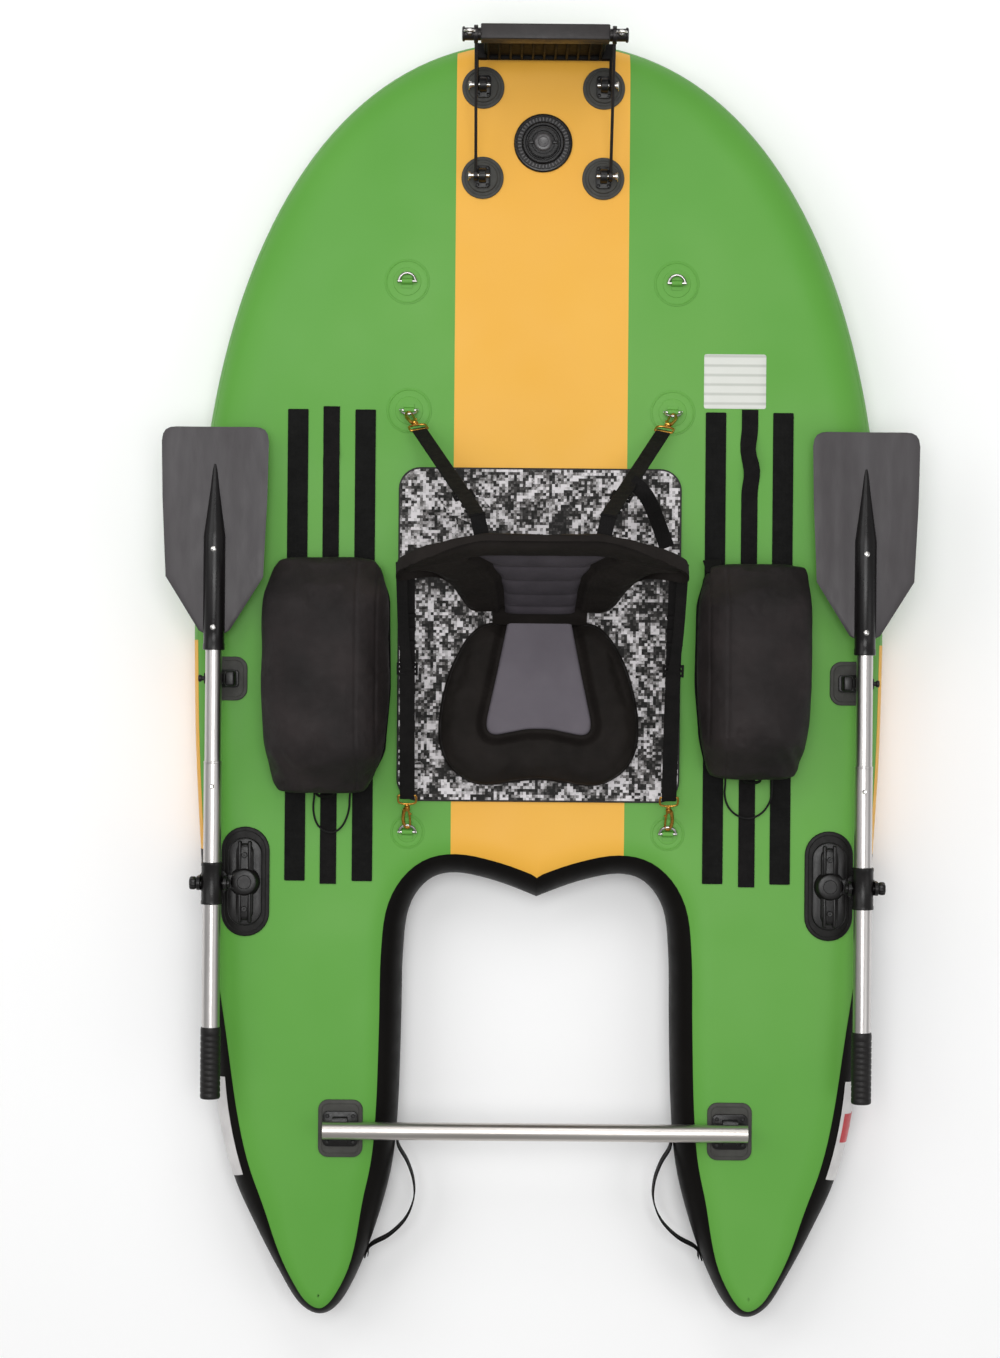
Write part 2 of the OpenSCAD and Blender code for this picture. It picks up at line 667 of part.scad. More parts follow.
module oar_grip_left() { oar_grip(-1); }
module oar_grip_right() { oar_grip(1); }
module snap_button(s) {
    color("silver") along_oar(s) translate([0, button_y, 6]) {
        cylinder(r = button_r, h = 10);
        translate([0, 0, 10]) cylinder(r1 = button_r, r2 = 2.6, h = 1.8);
    }
}
module snap_button_left() { snap_button(-1); }
module snap_button_right() { snap_button(1); }

// ---- crossbar ----
module crossbar() {
    color("silver") difference() {
        translate([-bar_l / 2, bar_y, bar_z]) along_x(bar_d / 2, bar_l);
        translate([-bar_l / 2 - cut, bar_y, bar_z]) along_x(bar_d / 2 - wall, bar_l + 2 * cut);
    }
}
module crossbar_clips() {
    z0 = deck_z + rubber_t;
    color("black") both_halves() difference() {
        union() {
            translate([clip_x - 30, bar_y - 30, z0]) cube([60, 60, 4]);
            translate([clip_x - 13, bar_y - 20, z0]) cube([26, 40, bar_z - z0]);
        }
        translate([clip_x - 40, bar_y, bar_z]) along_x(bar_d / 2 + run_fit, 80);
    }
}

// ---- grab handles: webbing loops on the inner walls of the tails ----
handle_w = 38;
handle_t = 3;
handle_z = 56;
handle_route = [[238, -788], [236, -812], [220, -840], [209, -872], [208, -905], [222, -940], [250, -968],
    [282, -986], [291.8, -1006]];
module grab_handles() {
    path = spline(handle_route, 3);
    last = len(path) - 1;
    function normal(i) = let (t = path[min(i + 1, last)] - path[max(i - 1, 0)]) unit([t.y, -t.x]);
    color("black") both_halves() translate([0, 0, handle_z]) linear_extrude(handle_w) polygon(concat(
        [for (i = [0:last]) path[i] + normal(i) * handle_t / 2],
        [for (i = [last:-1:0]) path[i] - normal(i) * handle_t / 2]));
}

drop_stitch_core();
lower_skin();
upper_skin();
deck_stripe();
side_wall_bow();
side_wall_left();
side_wall_right();
side_wall_stern();
trim_patches();
valve_body();
valve_spring();
valve_poppet();
valve_cap();
mount_pads();
mount_feet();
mount_board();
mount_tube();
mount_stays();
mount_pin_front_left();
mount_pin_front_right();
mount_pin_rear_left();
mount_pin_rear_right();
clamp_knob_left();
clamp_knob_right();
dring_patches();
seat_drings();
dring_front_left();
dring_front_right();
snap_hooks();
hook_strips();
bag_straps();
bag_left();
bag_right();
bag_cord_left();
bag_cord_right();
deck_pads();
oar_rests();
oarlock_bases();
oarlock_left();
oarlock_right();
oar_shaft_left();
oar_shaft_right();
oar_blade_left();
oar_blade_right();
oar_rivets_left();
oar_rivets_right();
oar_grip_left();
oar_grip_right();
snap_button_left();
snap_button_right();
oar_knob_left();
oar_knob_right();
crossbar_clips();
crossbar();
grab_handles();
seat_pad();
seat_base();
seat_back();
front_straps();
side_straps();
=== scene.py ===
"""Looks of an inflatable float tube boat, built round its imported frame.

Every class below builds one sub-assembly. Its sizes are millimetres, in the frame's own axes: +Y is the bow,
+X is starboard and +Z is up from the plane that the hull rests on. solid() turns a finished shape to metres.
"""

import logging
from collections.abc import Callable, Sequence
from dataclasses import dataclass, field
from enum import Enum
from math import atan2, copysign, cos, degrees, exp, pi, radians, sin, tau

import bmesh
import bpy
from mathutils import Matrix, Vector, noise
from mathutils.kdtree import KDTree


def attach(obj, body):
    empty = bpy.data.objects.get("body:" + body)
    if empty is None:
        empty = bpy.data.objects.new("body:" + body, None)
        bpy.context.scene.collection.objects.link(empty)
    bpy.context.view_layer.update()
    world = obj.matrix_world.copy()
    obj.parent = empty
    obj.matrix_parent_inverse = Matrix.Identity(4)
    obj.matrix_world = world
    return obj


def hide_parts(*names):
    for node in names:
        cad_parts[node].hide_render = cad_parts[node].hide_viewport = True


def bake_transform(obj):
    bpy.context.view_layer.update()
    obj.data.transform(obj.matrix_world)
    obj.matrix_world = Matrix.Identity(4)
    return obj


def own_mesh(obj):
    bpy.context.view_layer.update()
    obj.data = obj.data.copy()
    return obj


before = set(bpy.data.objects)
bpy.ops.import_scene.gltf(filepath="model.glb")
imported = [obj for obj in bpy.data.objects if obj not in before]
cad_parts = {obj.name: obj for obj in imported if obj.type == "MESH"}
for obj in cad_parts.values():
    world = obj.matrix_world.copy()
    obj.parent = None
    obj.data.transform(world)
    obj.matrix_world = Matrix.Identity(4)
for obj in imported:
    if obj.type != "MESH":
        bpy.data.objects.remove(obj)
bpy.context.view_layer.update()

LOG = logging.getLogger("float_tube")
MM = 0.001
ACROSS, AHEAD, UP = Vector((1, 0, 0)), Vector((0, 1, 0)), Vector((0, 0, 1))

Socket = bpy.types.NodeSocket
Mesh = bmesh.types.BMesh
Piece = bpy.types.Object
Tree = bpy.types.NodeTree
Line = Sequence[Vector]
Pair = tuple[float, float]
Triple = tuple[float, float, float]
Points = tuple[Pair, ...]


class Side(Enum):
    """The two sides of the boat, by the sign of X."""

    LEFT = -1
    RIGHT = 1

    @property
    def label(self) -> str:
        """Name used in node and piece names."""
        return self.name.lower()


class Axis(Enum):
    """Directions that a turned or grained part can lie along."""

    X = (1.0, 0.0, 0.0)
    Y = (0.0, 1.0, 0.0)
    Z = (0.0, 0.0, 1.0)


# ---- materials


def linear(hex_colour: str) -> tuple[float, float, float, float]:
    """Turn an sRGB hex colour to linear RGBA.

    Args:
        hex_colour: Six hex digits with a leading hash.

    Returns:
        Linear red, green, blue and an alpha of one.
    """
    parts = [int(hex_colour[i : i + 2], 16) / 255 for i in (1, 3, 5)]
    r, g, b = (p / 12.92 if p <= 0.04045 else ((p + 0.055) / 1.055) ** 2.4 for p in parts)
    return r, g, b, 1.0


def add_node(
    tree: Tree,
    kind: str,
    settings: dict[str, object] | None = None,
    values: dict[str | int, object] | None = None,
    links: dict[str | int, Socket] | None = None,
) -> bpy.types.Node:
    """Add one shader node with its settings, its input values and its links.

    Args:
        tree: The material's node tree.
        kind: The shader node's type, such as Bump.
        settings: Attributes of the node.
        values: Input values by socket name or number.
        links: Output sockets to join to its inputs, by socket name or number.

    Returns:
        The new node.
    """
    node = tree.nodes.new(f"ShaderNode{kind}")
    for name, value in (settings or {}).items():
        setattr(node, name, value)
    for name, value in (values or {}).items():
        node.inputs[name].default_value = value
    for name, socket in (links or {}).items():
        tree.links.new(socket, node.inputs[name])
    return node


def shade_ramp(tree: Tree, fac: Socket, stops: Sequence[tuple[float, str]]) -> Socket:
    """Map a pattern's value to colours.

    Args:
        tree: The material's node tree.
        fac: The pattern, from 0 to 1.
        stops: Positions and hex colours, in order.

    Returns:
        The colour output.
    """
    node = add_node(tree, "ValToRGB", links={"Fac": fac})
    bar = node.color_ramp
    while len(bar.elements) < len(stops):
        bar.elements.new(0.5)
    for element, (place, colour) in zip(bar.elements, stops):
        element.position = place
        element.color = linear(colour)
    return node.outputs["Color"]


@dataclass(frozen=True)
class Finish:
    """A surface: its base colours, its gloss and the size of its finest grain.

    shades are the colours from the darkest to the lightest patch of the surface, blotch is the size of the
    patches and grain the size of the bumps, both in millimetres.
    """

    name: str
    shades: tuple[str, ...]
    roughness: float
    metallic: float = 0.0
    grain: float = 3.0
    depth: float = 0.15
    blotch: float = 60.0
    stretch: Triple = (1.0, 1.0, 1.0)
    specular: float = 0.3
    roughness_spread: float = 0.06

    def material(self) -> bpy.types.Material:
        """Return the finish's material, made the first time that it is asked for."""
        made = bpy.data.materials.get(self.name)
        return made if made else self.build()

    def build(self) -> bpy.types.Material:
        """Make the material from its coordinates, colour, gloss and bump."""
        material = bpy.data.materials.new(self.name)
        material.use_nodes = True
        tree = material.node_tree
        shader = tree.nodes["Principled BSDF"]
        shader.inputs["Metallic"].default_value = self.metallic
        shader.inputs["Specular IOR Level"].default_value = 0.5 if self.metallic else self.specular
        place = self.place(tree)
        tree.links.new(self.colour(tree, place), shader.inputs["Base Color"])
        tree.links.new(self.gloss(tree, place), shader.inputs["Roughness"])
        bump = add_node(
            tree, "Bump", values={"Distance": self.depth * MM, "Strength": 1.0},
            links={"Height": self.relief(tree, place)},
        )
        tree.links.new(bump.outputs["Normal"], shader.inputs["Normal"])
        return material

    def place(self, tree: Tree) -> Socket:
        """Return the piece's own coordinates, stretched along the grain."""
        coordinates = add_node(tree, "TexCoord").outputs["Object"]
        mapping = add_node(tree, "Mapping", values={"Scale": self.stretch}, links={"Vector": coordinates})
        return mapping.outputs["Vector"]

    def noise(self, tree: Tree, place: Socket, size: float, detail: float = 3.0) -> Socket:
        """Return noise whose patches are about size millimetres across."""
        values = {"Scale": 1 / (size * MM), "Detail": detail, "Roughness": 0.55}
        return add_node(tree, "TexNoise", values=values, links={"Vector": place}).outputs["Fac"]

    def colour(self, tree: Tree, place: Socket) -> Socket:
        """Return the colour: soft patches between the shades."""
        steps = max(len(self.shades) - 1, 1)
        stops = [(0.3 + 0.4 * i / steps, shade) for i, shade in enumerate(self.shades)]
        return shade_ramp(tree, self.noise(tree, place, self.blotch), stops)

    def gloss(self, tree: Tree, place: Socket) -> Socket:
        """Return the roughness: even, with smudges of the given spread."""
        low, high = self.roughness - self.roughness_spread, self.roughness + self.roughness_spread
        values = {"From Min": 0.3, "From Max": 0.7, "To Min": max(low, 0.02), "To Max": min(high, 1.0)}
        smudge = self.noise(tree, place, self.blotch / 3)
        return add_node(tree, "MapRange", values=values, links={"Value": smudge}).outputs["Result"]

    def relief(self, tree: Tree, place: Socket) -> Socket:
        """Return the height of the surface: plain grain."""
        return self.noise(tree, place, self.grain, 2.0)


@dataclass(frozen=True)
class Woven(Finish):
    """Cloth or webbing: two crossed waves, one thread wide, with the dye a little uneven."""

    thread: float = 2.0
    direction: tuple[str, str] = ("X", "Y")

    def relief(self, tree: Tree, place: Socket) -> Socket:
        """Return the two sets of threads added to fine wrinkles."""
        waves = [
            add_node(
                tree, "TexWave", {"bands_direction": way}, {"Scale": 0.31 / (self.thread * MM)},
                {"Vector": place},
            ).outputs["Fac"]
            for way in self.direction
        ]
        weave = add_node(tree, "Math", {"operation": "MULTIPLY"}, links={0: waves[0], 1: waves[1]})
        wrinkle = self.noise(tree, place, self.grain * 8, 2.0)
        return add_node(
            tree, "Math", {"operation": "MULTIPLY_ADD"}, {1: 4.0}, {0: wrinkle, 2: weave.outputs["Value"]}
        ).outputs["Value"]


@dataclass(frozen=True)
class Digital(Finish):
    """Printed foam: square cells in black, greys and near white that gather into patches."""

    cell: float = 5.0
    cluster: float = 21.0

    def colour(self, tree: Tree, place: Socket) -> Socket:
        """Return one colour a cell, from noise read at the cell's corner, with the ink's finer dots over it."""
        values = []
        for size, weight in ((self.cell, 0.27), (self.cell * 0.5, 0.07)):
            snapped = add_node(
                tree, "VectorMath", {"operation": "SNAP"}, {1: (size * MM,) * 3}, {0: place}
            ).outputs["Vector"]
            speckle = add_node(tree, "TexWhiteNoise", links={"Vector": snapped}).outputs["Value"]
            base = values[-1] if values else self.noise(tree, snapped, self.cluster, 2.0)
            values.append(add_node(
                tree, "Math", {"operation": "MULTIPLY_ADD"}, {1: weight}, {0: speckle, 2: base}
            ).outputs["Value"])
        stops = list(zip((0.53, 0.62, 0.68, 0.74, 0.82), self.shades))
        return shade_ramp(tree, values[-1], stops)


@dataclass(frozen=True)
class Barred(Finish):
    """Plain sticker with faint grey bars across it."""

    pitch: float = 16.0

    def colour(self, tree: Tree, place: Socket) -> Socket:
        """Return pale ground with soft bars along X."""
        bars = add_node(
            tree, "TexWave", {"bands_direction": "Y"}, {"Scale": 0.31 / (self.pitch * MM)}, {"Vector": place}
        ).outputs["Fac"]
        return shade_ramp(tree, bars, [(0.0, self.shades[0]), (0.35, self.shades[1]), (1.0, self.shades[1])])


# PVC-coated polyester, welded: satin, with a very fine scrim that shows as a faint orange peel.
GREEN_PVC = Finish("pvc_coated_fabric_green", ("#579a38", "#5c9e3d", "#64a245"), 0.5, grain=5, depth=0.05,
                   blotch=480,
                   specular=0.28)
YELLOW_PVC = Finish("pvc_coated_fabric_yellow", ("#e7aa3c", "#ebb244"), 0.5, grain=5, depth=0.05, blotch=420,
                    specular=0.3)
BLACK_PVC = Finish("pvc_coated_fabric_black", ("#0a0807", "#0f0d0b"), 0.5, grain=5, depth=0.06, blotch=90,
                   specular=0.09)
WHITE_PVC = Finish("pvc_sticker_white", ("#c9c6c6", "#dad8d6"), 0.35, grain=6, depth=0.02, blotch=40)
RED_PVC = Finish("pvc_sticker_red", ("#b01c28", "#c3222e"), 0.35, grain=6, depth=0.02, blotch=40)
LABEL = Barred("vinyl_label", ("#b9bcb4", "#d4d6cf"), 0.35, grain=6, depth=0.02)
# Drop-stitch core: woven white polyester, never seen while the hull is whole.
DROP_STITCH = Woven("polyester_drop_stitch", ("#d8d8d2", "#e6e6e0"), 0.85, thread=6.0)
# Moulded rubber welded to the deck: dull, fine grain.
RUBBER = Finish("moulded_rubber_grey", ("#383734", "#43433f"), 0.6, grain=1.6, depth=0.10, blotch=25)
RUBBER_BLACK = Finish("moulded_rubber_black", ("#0c0b0a", "#141211"), 0.5, grain=1.6, depth=0.10, blotch=25,
                      specular=0.2)
# Glass-filled nylon: satin black with a spark-eroded grain.
NYLON = Finish("glass_filled_nylon", ("#0e0d0d", "#161414"), 0.33, grain=1.2, depth=0.06, blotch=20)
NYLON_DULL = Finish("glass_filled_nylon_dull", ("#0d0c0b", "#141211"), 0.62, grain=1.2, depth=0.06, blotch=20,
                    specular=0.12)
# Grey nylon: the crossbar's plugs are this grey; on the motor board's top lip it is painted light, the lit top
# drawn lighter than the board's dark front.
NYLON_GREY_AND_PAINTED_LIT_TOP = Finish("glass_filled_nylon_grey", ("#242121", "#2e2a2a"), 0.42, grain=1.2, depth=0.06, blotch=20)
VALVE_PLASTIC = Finish("acetal_black", ("#0d0c0c", "#141213"), 0.24, grain=2.5, depth=0.03, blotch=18)
# Light grey acetal: on the flange's grip ridges this grey is a painted highlight where light catches them; on
# the cap's middle grip it is the grip's own grey.
VALVE_GREY_AND_PAINTED_HIGHLIGHT = Finish("acetal_worn", ("#363435", "#514f50"), 0.3, grain=2.5, depth=0.05, blotch=6,
                     specular=0.5)
# Clear anodised aluminium tube: drawn lengthways, so the streaks run along it.
ALUMINIUM_Y = Finish(
    "anodised_aluminium_lengthways", ("#b7b3b1", "#d2cfcd"), 0.34, 1.0, 1.2, 0.02, 30, (1.0, 0.04, 1.0)
)
ALUMINIUM_X = Finish(
    "anodised_aluminium_crossways", ("#b5afaa", "#cfcac5"), 0.34, 1.0, 1.2, 0.02, 30, (0.04, 1.0, 1.0)
)
DARK_METAL = Finish("black_anodised_aluminium", ("#1b1818", "#262222"), 0.36, 0.5, 1.5, 0.03, 25)
# Polished stainless wire and pressed parts.
STAINLESS = Finish("stainless_steel", ("#a5a3a0", "#c9c7c4"), 0.24, 1.0, 1.5, 0.02, 15)
BRASS = Finish("cast_brass", ("#a8762f", "#cf9b49"), 0.3, 1.0, 1.2, 0.05, 9)
# Woven nylon webbing: the 2 mm ribs are drawn wider than real so that they show.
WEBBING = Woven("nylon_webbing", ("#0c0b0b", "#141212"), 0.78, grain=2, depth=0.35, blotch=30, specular=0.15,
                thread=2.4)
# Hook tape: stubby plastic hooks in rows, dull black.
HOOK_TAPE = Woven("hook_tape", ("#0b0b0a", "#131312"), 0.7, grain=2, depth=0.6, blotch=30, specular=0.15,
                  thread=2.2)
# Coated pack cloth of the bags: soft folds and a dull coating.
PACK_CLOTH = Woven(
    "coated_pack_cloth", ("#171313", "#201b1b", "#292323"), 0.58, grain=3, depth=0.35, blotch=90,
    specular=0.22,
    thread=1.8,
)
SEAT_CLOTH = Woven(
    "seat_polyester_black", ("#191614", "#221e1c"), 0.66, grain=2.4, depth=0.30, blotch=60, specular=0.1,
    thread=1.9
)
PANEL_CLOTH = Woven(
    "stretch_neoprene_grey", ("#5d585f", "#676269"), 0.7, grain=2.4, depth=0.18, blotch=90, specular=0.2,
    thread=1.6
)
RIB_CLOTH = Woven(
    "stretch_neoprene_dark", ("#39353a", "#464147"), 0.7, grain=2.4, depth=0.18, blotch=60, specular=0.2,
    thread=1.6
)
CAMO = Digital(
    "printed_eva_foam", ("#1d1c1b", "#3c3a39", "#73706f", "#b2afb0", "#d9d5d7"), 0.78, grain=1.5, depth=0.12
)
# Dark grey roll round the foam pad's top edge: a painted shadow line along the edge.
FOAM_EDGE_PAINTED_SHADOW = Finish("eva_foam_painted_shadow_edge", ("#2b2a29", "#393737"), 0.85, grain=1.5, depth=0.2, blotch=10)
# Injection-moulded polypropylene of the oar blades: satin grey with flow marks along it.
BLADE = Finish("polypropylene_grey", ("#3b3739", "#434042"), 0.44, 0.0, 1.6, 0.05, 45, (1.0, 0.25, 1.0))
BLADE_SPINE = Finish("polypropylene_black", ("#100f0f", "#191718"), 0.3, 0.0, 1.6, 0.05, 30, (1.0, 0.25, 1.0))
GRIP = Finish("vinyl_grip", ("#121010", "#1a1817"), 0.48, grain=2.0, depth=0.25, blotch=20)
CORD = Woven("braided_cord", ("#0d0c0c", "#151414"), 0.75, grain=1.5, depth=0.25, blotch=12, thread=1.4)
FLOOR = Finish("studio_paper", ("#fdfdfd", "#fefefe"), 0.9, grain=8, depth=0.02, blotch=900)

# ---- shapes


def catmull(points: Sequence[Sequence[float]], steps: int) -> list[Vector]:
    """Join points with a smooth open spline.

    Args:
        points: Points, in two or three dimensions.
        steps: Number of steps between two points.

    Returns:
        Points along the spline, in three dimensions.
    """
    p = [Vector(q).to_3d() for q in points]
    p = [p[0]] + p + [p[-1]]
    line: list[Vector] = []
    for a, b, c, d in zip(p, p[1:], p[2:], p[3:]):
        for k in range(steps):
            t = k / steps
            line.append(
                0.5 * (2 * b + (c - a) * t + (2 * a - 5 * b + 4 * c - d) * t * t + (3 * b - 3 * c + d - a)
                       * t**3)
            )
    return line + [p[-1]]


def both_sides(half: Line) -> list[Vector]:
    """Close a half outline, from axis to axis, with its mirror image in X."""
    return list(half) + [Vector((-p.x, p.y, p.z)) for p in reversed(half[1:-1])]


def ramp(value: float) -> float:
    """Smooth step from 0 to 1 as the value goes from 0 to 1."""
    t = min(max(value, 0.0), 1.0)
    return t * t * (3 - 2 * t)


def between(knots: Sequence[Pair], at: float, eased: float = 0.0) -> float:
    """Read a table of places and values at any place.

    Args:
        knots: Places and their values, in order.
        at: The place.
        eased: How much of the step between two knots is smooth, from 0 to 1.

    Returns:
        The value there, or the last one past the end.
    """
    for (a, low), (b, high) in zip(knots, knots[1:]):
        if at <= b:
            t = (at - a) / (b - a)
            return low + (high - low) * (ramp(t) * eased + t * (1 - eased))
    return knots[-1][1]


def rounded_rect(width: float, length: float, radius: float, at: Pair = (0, 0)) -> list[Vector]:
    """Return the outline of a rectangle with round corners, anticlockwise, about a centre."""
    corner_steps = 8
    outline = []
    for quarter, (sx, sy) in enumerate(((1, 1), (-1, 1), (-1, -1), (1, -1))):
        for k in range(corner_steps + 1):
            angle = pi / 2 * (quarter + k / corner_steps)
            x = sx * (width / 2 - radius) + radius * cos(angle)
            y = sy * (length / 2 - radius) + radius * sin(angle)
            outline.append(Vector((at[0] + x, at[1] + y, 0)))
    return outline


def circle(radius: float, at: Pair = (0, 0), steps: int = 48) -> list[Vector]:
    """Return a circle's outline about a centre, anticlockwise."""
    turns = [tau * k / steps for k in range(steps)]
    return [Vector((at[0] + radius * cos(a), at[1] + radius * sin(a), 0)) for a in turns]


def loft(rows: Sequence[Line], closed: bool = True, capped: bool = True) -> Mesh:
    """Skin a surface over rows of points by extruding the first row through the others.

    Its UV map runs from 0 to 1 round a row and in metres along the rows.

    Args:
        rows: Rows with the same number of points.
        closed: Whether each row is a ring.
        capped: Whether the first and last rings are filled.

    Returns:
        The new mesh, its faces pointing one way.
    """
    bm = bmesh.new()
    uv = bm.loops.layers.uv.new("UVMap")
    ring = [bm.verts.new(p) for p in rows[0]]
    edges = [bm.edges.new(pair) for pair in zip(ring, ring[1:] + ring[:1] if closed else ring[1:])]
    first, travel = edges, 0.0
    where = {vert: (k / len(ring), travel) for k, vert in enumerate(ring)}
    for before, row in zip(rows, rows[1:]):
        travel += sum((q - p).length for p, q in zip(before, row)) / len(row) * MM
        made = {g for g in bmesh.ops.extrude_edge_only(bm, edges=edges)["geom"]
                if isinstance(g, bmesh.types.BMVert)}
        moved = []
        for vert, point in zip(ring, row):
            twin = next(e.other_vert(vert) for e in vert.link_edges if e.other_vert(vert) in made)
            twin.co = point
            moved.append(twin)
        ring = moved
        where.update({vert: (k / len(ring), travel) for k, vert in enumerate(ring)})
        edges = [bm.edges.get(pair) for pair in zip(ring, ring[1:] + ring[:1] if closed else ring[1:])]
    for face in bm.faces:
        wraps = max(where[v][0] for v in face.verts) - min(where[v][0] for v in face.verts) > 0.5
        for corner in face.loops:
            u, v = where[corner.vert]
            corner[uv].uv = (u + 1 if wraps and u < 0.5 else u, v)
    if closed and capped:
        for end in (first, edges):
            bmesh.ops.contextual_create(bm, geom=end)
    bmesh.ops.recalc_face_normals(bm, faces=bm.faces)
    return bm


def turned(profile: Sequence[Pair], centre: Sequence[float], axis: Axis = Axis.Z, steps: int = 64) -> Mesh:
    """Turn a closed part on a lathe.

    Args:
        profile: Points as radius and distance along the axis. It is a closed section, unless it starts and ends
            on the axis.
        centre: Place of the profile's zero.
        axis: Direction of the axis.
        steps: Steps in the full turn.

    Returns:
        The new mesh.
    """
    bm = bmesh.new()
    verts = [bm.verts.new((r, 0, z)) for r, z in profile]
    solid_core = profile[0][0] == 0 and profile[-1][0] == 0
    edges = [bm.edges.new(pair) for pair in zip(verts, verts[1:] if solid_core else verts[1:] + verts[:1])]
    bmesh.ops.spin(
        bm, geom=verts + edges, cent=(0, 0, 0), axis=(0, 0, 1), angle=tau, steps=steps, use_merge=True
    )
    bmesh.ops.remove_doubles(bm, verts=bm.verts, dist=1e-4)
    bmesh.ops.delete(bm, geom=[e for e in bm.edges if not e.link_faces], context="EDGES")
    bmesh.ops.recalc_face_normals(bm, faces=bm.faces)
    spin = UP.rotation_difference(Vector(axis.value)).to_matrix().to_4x4()
    bmesh.ops.transform(bm, matrix=Matrix.Translation(centre) @ spin, verts=bm.verts)
    return bm


def bush(inner: float, outer: float, low: float, high: float, edge: float) -> list[Pair]:
    """Return the section of a tube or bush, from low to high along its axis, with its outer edges broken."""
    return [(inner, low), (outer - edge, low), (outer, low + edge), (outer, high - edge),
            (outer - edge, high),
            (inner, high)]


def frames_along(path: Line, up: Vector) -> list[tuple[Vector, Vector]]:
    """Return two directions across a path at each point: the first stays as level with up as it can."""
    frames = []
    for i in range(len(path)):
        tangent = (path[min(i + 1, len(path) - 1)] - path[max(i - 1, 0)]).normalized()
        side = tangent.cross(up)
        if side.length <= 0.05:
            side = frames[-1][0] if frames else tangent.orthogonal()
        side = side.normalized()
        frames.append((side, side.cross(tangent).normalized()))
    return frames


def tube(path: Line, radius: float | Sequence[float], sides: int = 16, looped: bool = False) -> Mesh:
    """Sweep a round section along a path.

    Args:
        path: Points of the centre line.
        radius: One radius, or one for each point.
        sides: Sides of the section.
        looped: Whether the end joins the start.

    Returns:
        The new mesh, closed at both ends or all round.
    """
    radii = [radius] * len(path) if isinstance(radius, (int, float)) else list(radius)
    if looped:
        path, radii = list(path) + [path[0]], radii + [radii[0]]
    rows = []
    around = frames_along(path, Vector((0.31, 0.17, 1)))
    if looped:
        around[0] = around[-1] = frames_along([path[-2], path[0], path[1]], Vector((0.31, 0.17, 1)))[1]
    for point, r, (side, lift) in zip(path, radii, around):
        turns = [tau * k / sides for k in range(sides)]
        rows.append([point + r * (cos(a) * side + sin(a) * lift) for a in turns])
    bm = loft(rows, capped=not looped)
    if looped:
        bmesh.ops.remove_doubles(bm, verts=bm.verts, dist=1e-3)
        bmesh.ops.recalc_face_normals(bm, faces=bm.faces)
    return bm


def band(path: Line, width: float, thickness: float, across: Vector | Line) -> Mesh:
    """Sweep flat webbing along a path.

    Args:
        path: Points of the centre line.
        width: Width of the webbing.
        thickness: Thickness of the webbing.
        across: Direction of its width, one for all or one for each point.

    Returns:
        The new mesh, with slightly rounded edges and square ends.
    """
    sides = [across] * len(path) if isinstance(across, Vector) else list(across)
    rows = []
    w, t, edge = width / 2, thickness / 2, min(thickness * 0.35, 0.9)
    section = [(w - edge, t), (0, t * 1.06), (edge - w, t), (-w, t - edge), (-w, edge - t), (edge - w, -t),
               (0, -t), (w - edge, -t), (w, edge - t), (w, t - edge)]
    for i, (point, side) in enumerate(zip(path, sides)):
        tangent = (path[min(i + 1, len(path) - 1)] - path[max(i - 1, 0)]).normalized()
        out = (side - tangent * side.dot(tangent)).normalized()
        up = tangent.cross(out)
        rows.append([point + a * out + b * up for a, b in section])
    return loft(rows)


def block(size: Sequence[float], centre: Sequence[float], radius: float = 1.0, segments: int = 2) -> Mesh:
    """Return a box with all its edges rounded."""
    bm = bmesh.new()
    bmesh.ops.create_cube(bm, size=1.0)
    bmesh.ops.scale(bm, vec=Vector(size), verts=bm.verts)
    bmesh.ops.bevel(
        bm, geom=bm.edges, offset=radius, offset_type="OFFSET", segments=segments, profile=0.5,
        affect="EDGES",
        material=-1,
    )
    bmesh.ops.translate(bm, vec=Vector(centre), verts=bm.verts)
    return bm


def cushion_plate(
    outline: Line, bottom: float, top: float, edge: float, rings: int = 4, crown: float = 0.0
) -> Mesh:
    """Build a plate with a rounded top edge, whose top is rings that shrink towards the middle.

    Args:
        outline: Outline that can see its own middle from every point.
        bottom: Height of the underside.
        top: Height of the top face.
        edge: Radius of the top edge.
        rings: Rings between the edge and the middle.
        crown: Rise of the middle above the edge.

    Returns:
        The new mesh, closed underneath.
    """
    middle = sum(outline, Vector()) / len(outline)
    reach = min((p - middle).length for p in outline)

    def ring(inset: float, height: float) -> list[Vector]:
        """Return the outline, drawn in and set at a height."""
        share = 1 - inset / reach
        return [Vector((*(middle + (p - middle) * share).xy, height)) for p in outline]

    rows = [ring(min(edge, reach * 0.5), bottom), ring(0, bottom), ring(0, top - edge)]
    for k in range(1, 4):
        a = pi / 2 * k / 3
        rows.append(ring(edge * (1 - cos(a)), top - edge + edge * sin(a)))
    for k in range(1, rings + 1):
        inset = edge + (reach - edge) * 0.93 * k / rings
        rows.append(ring(inset, top + crown * ramp(k / rings)))
    return loft(rows)


